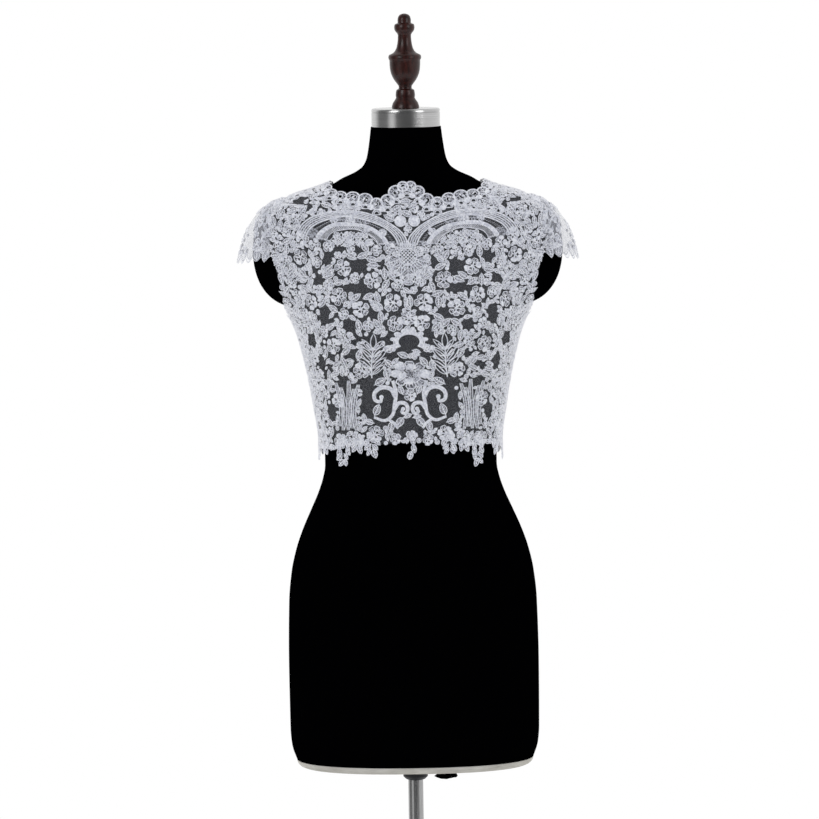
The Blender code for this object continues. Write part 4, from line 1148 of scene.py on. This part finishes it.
def stand_pieces():
    rows = (
        ("turned_finial", FINIAL, wood, "finial", "dark_wood"),
        ("brushed_cap", CAP, satin_steel, "neck_cap", "satin_metal"),
        ("clamp_collar", COLLAR, black_paint, "pole_collar", "black_metal"),
        ("steel_pole", POLE, pole_steel, "pole", "pole_steel"),
        ("round_base", STAND_BASE, black_paint, "stand_base", "black_metal"),
    )
    for name, profile, material, node, slot in rows:
        piece = turned_piece(name, profile, material)
        piece.data.set_sharp_from_angle(angle=SHARP_EDGE)
        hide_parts(node)


def plain_nodes():
    """Materials of the solids that show as they are."""
    finishes = {f"button_{number + 1}": cord_finish for number in range(BUTTON_COUNT)}
    finishes["cover_tail"] = jersey
    for name, finish in finishes.items():
        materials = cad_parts[name].data.materials
        materials.clear()
        materials.append(finish)


# The jacket
NET_ROWS = 130
FRONT_NET_COLUMNS = 110
BACK_NET_COLUMNS = 70
NECK_GUESS = 1400.0
NECK_ROUNDS = 30
HEM_GUESS = 1070.0


def net_sheet(name, panel, side):
    """The sheer ground of a panel; side 0 is the whole front, and 1 or -1 one half of the back."""
    columns = BACK_NET_COLUMNS if side else FRONT_NET_COLUMNS
    shares = side * np.linspace(0.002, 1.0, columns) if side else np.linspace(-1.0, 1.0, columns)

    def turned(heights):
        return np.abs(panel.centre - np.abs(shares) * (math.pi / 2 - armhole_depth(heights)))

    top = NECK_GUESS
    for _ in range(NECK_ROUNDS):
        top = panel.neck(np.degrees(turned(top))) - 0.9 * SCALLOP_RADIUS
    foot = hem_line(np.degrees(turned(HEM_GUESS)))
    rise = np.linspace(0.0, 1.0, NET_ROWS) ** 0.9
    heights = foot + rise[:, None] * (top - foot)
    points = cloth_point(np.copysign(turned(heights), shares), heights, NET_LIFT)
    threads = np.column_stack((runs(points).ravel(), heights.ravel()))
    faces = grid_faces(NET_ROWS, columns)
    if (side < 0) != panel.flip:
        faces = faces[:, ::-1]
    return make_piece(name, points.reshape(-1, 3), faces, [net_finish], threads=threads)


def scallop_spots(panel, start, end, count):
    """The middles of the neck scallops between two angles from the centre line."""
    turns = np.linspace(start, end, 181)
    angles = np.copysign(np.abs(panel.centre - np.abs(turns)), turns)
    heights = panel.neck(np.degrees(np.abs(angles)))
    along = runs(cloth_point(angles, heights, CLOTH_MIDDLE))
    at = along[-1] * (np.arange(count) + 0.5) / count
    height = np.interp(at, along, heights)
    reach = np.arange(PANEL_REACH)
    across = []
    for turn, level in zip(np.interp(at, along, turns), height):
        row = panel.look_up(panel.turn_at, reach, np.full(len(reach), level))
        across.append(math.copysign(np.interp(abs(turn), row, reach), turn))
    spots = np.column_stack((across, height))
    steep = axes(panel, spots)[2][:, 1]
    return spots - np.column_stack((np.zeros(count), SCALLOP_RADIUS / steep))


MOON_RADIUS = 5.4
MOON_DROP = 14.5
BEAD_RADIUS = 3.6
BEAD_DROP = 10.0


def neck_border(work, panel, start, end, count):
    """A row of looped scallops at the neck, with a row of half-moons and knots under it."""
    spots = scallop_spots(panel, start, end, count)
    for number, (spot, scale) in enumerate(zip(spots, axes(panel, spots)[2][:, 1])):
        sink = spot - (0.0, 0.12 * SCALLOP_RADIUS / scale)
        if abs(spot[0]) < 1.0:
            for lean in (-1, 1):
                twin = sink + (0.62 * lean * SCALLOP_RADIUS, 0.0)
                work.sew(scallop(0.86 * SCALLOP_RADIUS, number + lean), twin)
        else:
            work.sew(scallop((1.08 + 0.1 * math.sin(2.0 * number)) * SCALLOP_RADIUS, number), sink)
        work.reserve(spot, SCALLOP_RADIUS)
        below = spot - (0.0, MOON_DROP / scale)
        work.sew(moon(MOON_RADIUS), below)
        work.reserve(below + (0.0, 2.0 / scale), 4.2)
        if number:
            between = (spot + spots[number - 1]) / 2 - (0.0, BEAD_DROP / scale)
            work.place(disc(BEAD_RADIUS), between, BEAD_RADIUS)


def hem_level(panel, across):
    return float(hem_line(abs(math.degrees(panel.centre) - 90.0 * across / HEM_REACH)))


# Ranges of the hem's leaves
HEM_LEAF_LENGTHS = (8.5, 12.5)
HEM_LEAF_LEANS = (10.0, 52.0)
HEM_LEAF_STEPS = (6.5, 9.0)


def hem_border(work, panel, tips, sides):
    """Blunt leaves and small flowers that hang in uneven clusters over the net's edge."""
    random = np.random.default_rng(SEED)
    for number, row in enumerate(tips):
        base = hem_level(panel, row.across) - 1.0
        for side in sides if row.across > 10 else sides[:1]:
            height = base - row.drop + 6.0
            while height < base + 8.0:
                share = (height - base + row.drop) / (row.drop + 8.0)
                spread = 0.36 * row.width * min(1.0, 0.3 + 1.2 * share)
                ways = (-1, 1) if row.width > 15.0 else (random.uniform(-0.6, 0.6),)
                for way in ways:
                    length = random.uniform(*HEM_LEAF_LENGTHS)
                    turn = -90.0 + way * random.uniform(*HEM_LEAF_LEANS)
                    across = row.across + way * spread + random.uniform(-1.6, 1.6)
                    spot = (side * across, height + random.uniform(-2.0, 2.0))
                    width = random.uniform(0.48, 0.66) * length
                    work.sew(leaf(length, width, 2, random.uniform(0.45, 0.8)), spot, mirrored(turn, side))
                    if height > base - 4.0:
                        work.reserve(spot, 4.4)
                height += random.uniform(*HEM_LEAF_STEPS)
            crown = (side * row.across, base + random.uniform(9.0, 13.0))
            bloom = flower(random.uniform(6.0, 8.0), 5, number)
            work.place(bloom, crown, 6.5, random.uniform(0.0, 3.0))
    for number, across in enumerate(np.arange(60.0, HEM_REACH, 8.0)):
        for side in sides:
            x = side * (across + random.uniform(-3.0, 3.0))
            spot = (x, hem_level(panel, across) + random.uniform(-4.0, 4.0))
            size = random.uniform(3.4, 6.0)
            motif = flower(size, 5, number) if number % 3 else leaf(10.0, 5.6, 2, 0.6)
            work.place(motif, spot, size, float(number))


FERN_SPOT = (48.0, 1186.0)
FERN_TURN = 93.0
FERN_LENGTH = 54.0
TWIN_SPOT = (9.0, 1365.0)
TWIN_RADIUS = 7.2


def front_heroes(work, panel):
    """The large motifs of the front, the same on both halves."""
    for row in CENTRE_GAPS:
        work.reserve_gap((0.0, row.height), row, 1)
    for side in (-1, 1):
        for row in SIDE_GAPS:
            work.reserve_gap(panel.seen((side * row.across, row.height)), row, side)
        for number, row in enumerate(FLOWERS):
            bloom = flower(row.diameter / 2, 6 if row.diameter > 23 else 5, 2 * number + side + 1)
            spot = panel.seen((side * row.across, row.height))
            work.place(bloom, spot, row.diameter / 2 + 1.2, side * row.height)
        bust_arch(work, panel, side)
        scrolls(work, panel, side)
        ribbed_column(work, panel, side)
        spot = panel.seen(np.multiply(FERN_SPOT, (side, 1)))
        lean = math.radians(FERN_TURN)
        work.sew(fern(0.8 * FERN_LENGTH, 5, 26.0, 7.4), spot, mirrored(FERN_TURN, side))
        along = np.linspace(-0.4, 0.5, 7)[:, None] * FERN_LENGTH
        direction = np.array((side * math.cos(lean), math.sin(lean)))
        work.reserve(spot + along * direction, np.linspace(16.0, 10.0, 7))
        twin = panel.seen(np.multiply(TWIN_SPOT, (side, 1)))
        work.place(disc(TWIN_RADIUS), twin, TWIN_RADIUS)
    centre_motifs(work)


MEDALLION_SPOT = (0.0, 1320.0)
MEDALLION_RADIUS = 11.5
LOOP_SPOT = (0.0, 1212.0)
LOOP_RADIUS = 11.0
ROSE_SPOT = (0.0, 1170.0)
ROSE_RADIUS = 21.0
LOOP_BEADS = (-22, 12, 45, 78, 104, 135, 166, 204)


def centre_motifs(work):
    """What stands on the centre line: the medallion and its fan, the loop and the rose."""
    work.sew(medallion(MEDALLION_RADIUS), MEDALLION_SPOT)
    work.reserve((0.0, 1316.0), 19.0)
    loop = Stitches()
    turns = np.radians(np.linspace(-38.0, 218.0, 19))
    loop.cord(polar(LOOP_RADIUS, turns), 3.4)
    loop.cord(polar(13.6, turns), lift=CORD_LIFT + 0.4)
    for number, degrees in enumerate(LOOP_BEADS):
        loop.join(disc(2.6 + 0.5 * math.sin(5.0 * number)), 0.0, polar(14.6, np.radians(degrees)))
    for side in (-1, 1):
        loop.join(flower(5.6, 5, side + 7), 0.4 * side, (side * 17.0, -9.0))
    work.sew(loop, LOOP_SPOT)
    work.reserve([(-12.0, 1205.0), (12.0, 1205.0), (0.0, 1223.0), (-9.0, 1219.0), (9.0, 1219.0)], 4.5)
    work.reserve([(-17.0, 1211.0), (17.0, 1211.0), (0.0, 1209.0), (0.0, 1202.0)], 5.0)
    work.place(rose(ROSE_RADIUS), ROSE_SPOT, 20.5)
    work.place(flower(9.0, 5), (0.0, 1142.0), 9.0)
    work.place(flower(9.5, 6), (0.0, 1242.0), 9.5)


# Banded arches over the bust: lines and fills by their share of the arch's size, ends in degrees
ARCH_ACROSS = 72.0
ARCH_HEIGHT = 1337.0
ARCH_HALF_SPAN = 54.0
ARCH_RISE = 30.0
ARCH_TILT = 0.09
ARCH_LINES = (
    (1.36, BOLD_CORD), (1.24, THIN_CORD), (1.12, BOLD_CORD),
    (0.88, BOLD_CORD), (0.78, CORD), (0.62, CORD),
)
ARCH_FILLS = (
    (1.36, 1.12, 4.0, 176.0),
    (0.88, 0.78, 4.0, 176.0),
    (1.12, 0.88, 4.0, 15.0),
    (1.12, 0.88, 66.0, 112.0),
    (1.12, 0.88, 151.0, 176.0),
    (0.78, 0.62, 4.0, 24.0),
    (0.78, 0.62, 60.0, 122.0),
    (0.78, 0.62, 147.0, 176.0),
)
ARCH_RIBBON = 90.0
ARCH_ZIGZAGS = ((0.97, 1.03, 90, 0.6 * THIN_CORD), (0.64, 0.77, 40, CORD), (0.77, 0.64, 40, CORD))
ARCH_BLOOMS = (
    (74, 1366, 7.5), (137, 1345, 10.0), (121, 1336, 9.0), (103, 1334, 8.5), (24, 1331, 8.0),
    (40, 1329, 7.5), (80, 1379, 5.6), (66, 1381, 5.2), (32, 1351, 5.4), (112, 1376, 6.0),
    (96, 1368, 5.4), (52, 1356, 4.8),
)
ARCH_KEPT_CLEAR = (0.66, 0.8, 0.94, 1.08, 1.22, 1.34)


def arch_line(panel, side, scale, steps=25, start=6.0, end=172.0):
    turns = np.radians(np.linspace(start, end, steps))
    x = ARCH_ACROSS - ARCH_HALF_SPAN * scale * np.cos(turns)
    z = ARCH_HEIGHT + ARCH_RISE * scale * np.sin(turns) + ARCH_TILT * (x - ARCH_ACROSS)
    z = z + 0.5 * np.sin(6.0 * turns + 9.0 * scale)
    return panel.seen(np.column_stack((side * np.maximum(x, 1.0), z)))


def bust_arch(work, panel, side):
    """A banded arch over one side of the bust, with open stripes and a lattice under it."""
    lace = Stitches()
    for scale, width in ARCH_LINES:
        lace.cord(arch_line(panel, side, scale), width)
    for outer, inner, start, end in ARCH_FILLS:
        steps = max(4, int((end - start) / 7))
        first = arch_line(panel, side, outer, steps, start, end)
        second = arch_line(panel, side, inner, steps, start, end)
        lace.band(*((first, second) if side < 0 else (second, first)))
        for share in (0.25, 0.5, 0.75) if end - start > ARCH_RIBBON else ():
            lace.cord(first + share * (second - first))
    for low, high, steps, width in ARCH_ZIGZAGS:
        near, far = arch_line(panel, side, low, steps), arch_line(panel, side, high, steps)
        lace.cord(np.where((np.arange(steps) % 2 == 0)[:, None], near, far), width)
    for lean in (-1, 1):
        for x in np.arange(ARCH_ACROSS - 44.0, ARCH_ACROSS + 45.0, 5.5):
            line = np.column_stack((x + lean * np.linspace(-9.0, 9.0, 5), np.linspace(1334.0, 1352.0, 5)))
            place = (line - (ARCH_ACROSS, ARCH_HEIGHT)) / (ARCH_HALF_SPAN, ARCH_RISE)
            kept = line[(place**2).sum(axis=1) < 0.36]
            if len(kept) > 1:
                lace.cord(panel.seen(kept * (side, 1)), THIN_CORD)
    work.draw(lace)
    for scale in ARCH_KEPT_CLEAR:
        work.reserve(arch_line(panel, side, scale), 3.0)
    for number, (x, z, size) in enumerate(ARCH_BLOOMS):
        work.place(flower(size, 5, number), panel.seen((side * x, z)), size, side * (number + 0.5))


# Scrolls: places on the line, its width, and whether it ends in a knob; leaves by place, turn and length
SCROLLS = (
    (((22, 1162), (18, 1146), (20, 1130), (23, 1116), (32, 1109), (47, 1113)), 4.0, False),
    (((19, 1140), (25, 1151), (37, 1153), (46, 1145), (45, 1136), (38, 1134), (37, 1140)), 4.9, True),
    (((20, 1124), (14, 1132), (6, 1131), (3, 1124), (6, 1118), (11, 1120), (9, 1124)), 4.4, True),
    (((28, 1110), (21, 1105), (16, 1098)), 3.2, False),
)
SCROLL_STEPS = 22
SCROLL_ROOM = (36.0, 1130.0)
SCROLL_ROOM_HALF = (28.0, 26.0)
SCROLL_LEAVES = (
    (43, 1123, 112, 16), (14, 1106, -52, 16), (25, 1100, -80, 14), (54, 1107, 14, 13),
    (38, 1161, 150, 16), (12, 1150, 70, 12), (60, 1112, 80, 12),
)


def scrolls(work, panel, side):
    """The open C-scrolls beside the centre gap, with small leaves on them."""
    lace = Stitches()
    swell = 0.6 + 0.4 * np.sin(np.linspace(0.25, 1.0, SCROLL_STEPS) * math.pi * 0.95)
    for line, wide, knob in SCROLLS:
        path = panel.seen(spline(np.array(line, float) * (side, 1), SCROLL_STEPS))
        taper = wide * swell
        lace.cord(path, taper)
        if knob:
            lace.knot(0.62 * wide, 10, path[-1], CORD_LIFT)
        edge = left_of(np.gradient(path, axis=0)) * (taper / 2)[:, None]
        lace.cord(path + edge, THIN_CORD, lift=CORD_LIFT + 0.4)
        lace.cord(path - edge, THIN_CORD, lift=CORD_LIFT + 0.4)
        work.reserve(path, 2.6)
    work.draw(lace)
    x, z = np.meshgrid(np.arange(10.0, 62.0, 5.0), np.arange(1104.0, 1154.0, 5.0))
    uneven = 1.0 + 0.35 * np.sin(0.35 * x) * np.cos(0.3 * z)
    beside = (x - SCROLL_ROOM[0]) / SCROLL_ROOM_HALF[0]
    above = (z - SCROLL_ROOM[1]) / SCROLL_ROOM_HALF[1]
    near = beside**2 + above**2 < uneven
    work.reserve(panel.seen(np.column_stack((side * x[near], z[near]))), 3.0)
    for x, z, turn, length in SCROLL_LEAVES:
        motif = leaf(length, 0.56 * length, 3, 0.7)
        work.place(motif, panel.seen((side * x, z)), 5.0, mirrored(turn, side))


RIBS = (70.0, 75.0, 80.0, 87.5, 92.5)
RIB_MIDDLE = 81.0
RIB_HALF_WIDTH = 2.9
RIB_FOOT = 1097.0
RIB_TOP = 1158.0


def ribbed_column(work, panel, side):
    """Long soft ribs side by side that spread a little upwards, with a slit of net between two of them."""
    lace = Stitches()
    rise = np.linspace(0.0, 1.0, 13)
    half = RIB_HALF_WIDTH * np.sin(math.pi * (0.08 + 0.84 * rise)) ** 0.5
    random = np.random.default_rng(SEED)
    for number, x in enumerate(RIBS):
        foot = RIB_FOOT + random.uniform(-3.0, 3.0)
        top = RIB_TOP + random.uniform(-7.0, 5.0)
        bow = (x - RIB_MIDDLE) * (0.25 * rise - 0.35 * np.sin(math.pi * rise))
        bow = bow + np.sin(4.0 * rise + number)
        heights = foot + (top - foot) * rise
        across = side * (x + bow)
        left, middle, right = (
            panel.seen(np.column_stack((place, heights))) for place in (across - half, across, across + half)
        )
        lace.band(right, left)
        lace.cord(left)
        lace.cord(right)
        lace.cord(middle, THIN_CORD)
        work.reserve(middle, 3.2)
    work.draw(lace)


def open_specks(work, low, high, count):
    """Keeps small uneven patches of net open between the motifs."""
    spots = work.random.uniform(low, high, (count, 2))
    for spot in spots[work.sheet.inside(spots)]:
        place = work.sheet.spot(spot[None], CLOTH_MIDDLE)
        if work.clear(place, np.array([5.0]), 2.0):
            work.reserve(spot + work.random.uniform(-4.0, 4.0, (2, 2)), work.random.uniform(2.0, 4.2))


def scatter_fill(work, low, high, mirror=False, share=1.0, gap=0.1):
    """Sprigs, flowers, leaves and loops of falling size wherever the cloth is free."""

    def throw(motifs, discs, tries, room=gap):
        work.scatter(motifs, discs, int(tries * share), room, low, high, mirror)

    for seed in range(5):
        motif, discs = sprig(8.5 + 1.0 * (seed % 3), 5 + seed % 2, 2 + seed % 3, seed)
        throw([motif], discs, 600)
    throw([flower(8.0, 5, seed) for seed in range(6)], [(0, 0, 7.4)], 2500)
    throw([leaf(16.0, 7.6)], [(-4.5, 0, 2.8), (0, 0, 3.4), (4.5, 0, 2.6)], 4000)
    throw([flower(5.4, 5, seed) for seed in range(6)], [(0, 0, 4.8)], 4500)
    throw([leaf(11.0, 5.0, 2)], [(-2.8, 0, 1.9), (2.8, 0, 1.7)], 8000, gap - 0.1)
    throw([eyelet(2.9, 1.1), disc(2.2)], [(0, 0, 2.2)], 4000)
    throw([leaf(6.0, 3.2, 0)], [(0, 0, 1.5)], 5000)


def lace_piece(work, name, node):
    piece = work.build(name, [cord_finish, fill_finish])
    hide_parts(node)


# Reach of the scattered motifs, across and in height
LACE_LOW = 1065.0
LACE_HIGH = 1412.0
SHOULDER_LACE = 1372.0
LACE_SIDE = 215.0
FRONT_HALF = 135.0
SPECKS = 60
NECK_REACH = math.radians(89)


def dress_front():
    panel = Panel(0.0, front_neck)
    net = net_sheet("front_net", panel, 0)
    work = Lacework(panel, SEED)
    neck_border(work, panel, NECK_REACH, -NECK_REACH, FRONT_SCALLOPS)
    front_heroes(work, panel)
    hem_border(work, panel, FRONT_TIPS, (1, -1))
    open_specks(work, (-130.0, 1160.0), (130.0, 1330.0), SPECKS)
    scatter_fill(work, (-FRONT_HALF, LACE_LOW), (FRONT_HALF, LACE_HIGH), share=1.1)
    scatter_fill(work, (120.0, LACE_LOW), (LACE_SIDE, LACE_HIGH), True, 0.6, -0.4)
    scatter_fill(work, (60.0, SHOULDER_LACE), (LACE_SIDE, LACE_HIGH), True, 0.5, -0.3)
    lace_piece(work, "front_lace", "front")


PLACKET_EDGE = 0.9
PLACKET_MIDDLE = 7.0
PLACKET_WIDTH = 13.0
PLACKET_STEPS = 60


def dress_back(side, name):
    panel = Panel(math.pi, back_neck)
    net = net_sheet(f"{name}_net", panel, side)
    work = Lacework(panel, SEED + side)
    neck_border(work, panel, side * NECK_REACH, side * math.radians(5), BACK_SCALLOPS)
    for row in BACK_GAPS:
        work.reserve_gap((side * row.across, row.height), row, side)
    for row in BACK_FLOWERS:
        spot = (side * row.across, row.height)
        work.place(flower(row.diameter / 2, 5), spot, row.diameter / 2, side * row.height)
    hem_border(work, panel, BACK_TIPS, (side,))
    heights = np.linspace(1068.0, 1374.0, PLACKET_STEPS)
    near, middle, far = (
        np.column_stack((np.full(PLACKET_STEPS, side * across), heights))
        for across in (PLACKET_EDGE, PLACKET_MIDDLE, PLACKET_WIDTH)
    )
    placket = Stitches()
    placket.cord(near, BOLD_CORD)
    placket.cord(far, THIN_CORD)
    placket.band(*((far, near) if side > 0 else (near, far)))
    work.draw(placket)
    work.reserve(middle, 6.0)
    low, high = sorted((side * 14.0, side * LACE_SIDE))
    scatter_fill(work, (low, LACE_LOW), (high, LACE_HIGH), share=1.2)
    scatter_fill(work, (low, SHOULDER_LACE), (high, LACE_HIGH), share=0.5)
    lace_piece(work, f"{name}_lace", name)


TULLE_ROWS = 40
TULLE_COLUMNS = 199
SLEEVE_PLAIN = 72.0
SLEEVE_PLAIN_FOOT = 104.0
SLEEVE_PLAIN_RISE = 58.0


def sleeve_edge(along):
    """The scalloped lower edge of a sleeve, in percent down from its seam."""
    return 100.0 + 8.0 * np.abs(np.sin(math.pi * SLEEVE_LOBES * (along + 100.0) / 200.0)) ** 0.7


def dress_sleeve(side, name):
    """Sheer tulle with lace over its upper part and its two ends."""
    sleeve = Sleeve(side)
    along = np.linspace(-100.0, 100.0, TULLE_COLUMNS)
    along, share = np.meshgrid(along, np.linspace(0.01, 1.0, TULLE_ROWS))
    spots = np.column_stack((along.ravel(), (share * sleeve_edge(along)).ravel()))
    faces = grid_faces(TULLE_ROWS, TULLE_COLUMNS)
    if not sleeve.flip:
        faces = faces[:, ::-1]
    points = sleeve.spot(spots, NET_LIFT)
    net = make_piece(f"{name}_tulle", points, faces, [tulle_finish], threads=spots * (0.9, 0.75))
    work = Lacework(sleeve, SEED + 5)
    edge = Stitches()
    along = np.linspace(-99.0, 99.0, 12 * SLEEVE_LOBES)
    edge.cord(np.column_stack((along, sleeve_edge(along) - 1.0)), THIN_CORD)
    work.draw(edge)
    x, down = np.meshgrid(np.arange(-SLEEVE_PLAIN, SLEEVE_PLAIN + 1.0, 6.0), np.arange(40.0, 106.0, 6.0))
    plain = (x / SLEEVE_PLAIN) ** 2 + ((SLEEVE_PLAIN_FOOT - down) / SLEEVE_PLAIN_RISE) ** 2 < 1.0
    work.reserve(np.column_stack((x[plain], down[plain])), 2.4)
    for row in SLEEVE_GAPS:
        for way in (-1, 1) if row.across else (1,):
            work.reserve_gap((way * row.across, row.height), row, way)
    for row in SLEEVE_FLOWERS:
        turn = math.copysign(row.height, row.across)
        work.place(flower(row.diameter / 2, 5), (row.across, row.height), row.diameter / 2, turn)
    for number in range(SLEEVE_LOBES):
        spot = (100.0 - 200.0 * (number + 0.5) / SLEEVE_LOBES, 97.0)
        if abs(spot[0]) > 70.0:
            work.place(leaf(13.0, 8.0, 3, 0.6), spot, 5.0, math.radians(90 + 12 * math.sin(3.0 * number)))
    scatter_fill(work, (-98.0, 3.0), (98.0, 99.0), share=0.5, gap=-0.3)
    lace_piece(work, f"{name}_lace", name)


# Camera and light
CAMERA_DISTANCE = 7.0
CAMERA_HEIGHT = 1.78
CAMERA_AIM = Vector((-0.0008, 0.0, 1.1125))
CAMERA_ROLL = math.radians(-0.87)
VIEW_WIDTH = 1.081
SENSOR = 36.0
FLOOR_RADIUS = 2500.0
FLOOR_LEVEL = -0.5
FLOOR_STEPS = 96
LAMP_AIM = Vector((0.0, 0.0, 1.2))
LAMP_SIZE = 1.6
LAMPS = (("key_softbox", (-2.6, -3.2, 3.0), 42.0), ("fill_softbox", (2.8, -2.6, 2.4), 24.0))

# Brightness of the room from the camera's side to the far side, and of what shines back, by turn
ROOM_STRENGTH = 1.25
ROOM = (
    (0.0, (0.14, 0.145, 0.16)),
    (0.08, (0.38, 0.4, 0.46)),
    (0.32, (0.42, 0.44, 0.5)),
    (0.45, (0.98, 0.98, 0.98)),
    (1.0, (1.12, 1.12, 1.1)),
)
REFLECTIONS = (
    (0.0, 0.95), (0.155, 0.9), (0.22, 0.2), (0.32, 0.2), (0.35, 0.75), (0.385, 0.75),
    (0.41, 0.12), (0.55, 0.1), (0.59, 0.3), (0.63, 0.3), (0.66, 0.75), (1.0, 0.95),
)


def aim(item, sight, roll=0.0):
    item.rotation_mode = "QUATERNION"
    item.rotation_quaternion = sight.to_track_quat("-Z", "Y") @ Quaternion((0, 0, 1), roll)


def set_camera(scene):
    camera = bpy.data.objects.new("camera", bpy.data.cameras.new("camera"))
    scene.collection.objects.link(camera)
    scene.camera = camera
    camera.location = (0.0, -CAMERA_DISTANCE, CAMERA_HEIGHT)
    sight = CAMERA_AIM - camera.location
    camera.data.sensor_width = SENSOR
    camera.data.lens = SENSOR * sight.length / VIEW_WIDTH
    aim(camera, sight, CAMERA_ROLL)


def mixed(tree, share, first, second):
    node = add_node(tree, "ShaderNodeMixShader")
    tree.links.new(share, node.inputs["Fac"])
    tree.links.new(first, node.inputs[1])
    tree.links.new(second, node.inputs[2])
    return node.outputs["Shader"]


def light_room(scene):
    """A soft room with bright strips for what shines, and white behind the object."""
    world = bpy.data.worlds.new("studio")
    scene.world = world
    world.use_nodes = True
    tree = world.node_tree
    soft = tree.nodes["Background"]
    soft.inputs["Strength"].default_value = ROOM_STRENGTH
    source = add_node(tree, "ShaderNodeTexCoord")
    parts = add_node(tree, "ShaderNodeSeparateXYZ")
    tree.links.new(source.outputs["Generated"], parts.inputs["Vector"])
    facing = math_node(tree, "MULTIPLY_ADD", parts.outputs["Y"], 0.5, 0.5)
    tree.links.new(ramp(tree, facing, ROOM), soft.inputs["Color"])
    ahead = math_node(tree, "MULTIPLY", parts.outputs["Y"], -1.0)
    around = math_node(tree, "ARCTAN2", parts.outputs["X"], ahead)
    share = math_node(tree, "MULTIPLY_ADD", around, 1 / math.tau, 0.5)
    strips = add_node(tree, "ShaderNodeBackground")
    tree.links.new(ramp(tree, share, REFLECTIONS), strips.inputs["Color"])
    white = add_node(tree, "ShaderNodeBackground", Color=(1.0, 1.0, 1.0, 1.0))
    path = add_node(tree, "ShaderNodeLightPath").outputs
    glossy = mixed(tree, path["Is Glossy Ray"], soft.outputs["Background"], strips.outputs["Background"])
    whole = mixed(tree, path["Is Camera Ray"], glossy, white.outputs["Background"])
    tree.links.new(whole, tree.nodes["World Output"].inputs["Surface"])
    for name, place, energy in LAMPS:
        light = bpy.data.lights.new(name, "AREA")
        light.energy = energy
        light.size = LAMP_SIZE
        lamp = bpy.data.objects.new(name, light)
        scene.collection.objects.link(lamp)
        lamp.location = place
        aim(lamp, LAMP_AIM - lamp.location)


def lay_floor():
    rim = np.vstack((circle(FLOOR_RADIUS, FLOOR_STEPS), (0.0, 0.0)))
    points = np.column_stack((rim, np.full(len(rim), FLOOR_LEVEL)))
    here = np.arange(FLOOR_STEPS)
    faces = np.column_stack((np.full(FLOOR_STEPS, FLOOR_STEPS), here, np.roll(here, -1)))
    material, tree, shader = new_material("pale_floor", Roughness=0.7)
    tone = noise(tree, coordinates(tree), 3.0)
    tree.links.new(ramp(tree, tone, ((0.3, 0.78), (0.7, 0.82))), shader.inputs["Base Color"])
    make_piece("floor", points, faces, [material], stage=True)


scene = bpy.context.scene
scene.view_settings.view_transform = "Standard"
set_camera(scene)
light_room(scene)
lay_floor()
form_pieces()
stand_pieces()
plain_nodes()
dress_front()
dress_back(1, "back_left")
dress_back(-1, "back_right")
dress_sleeve(1, "sleeve_left")
dress_sleeve(-1, "sleeve_right")
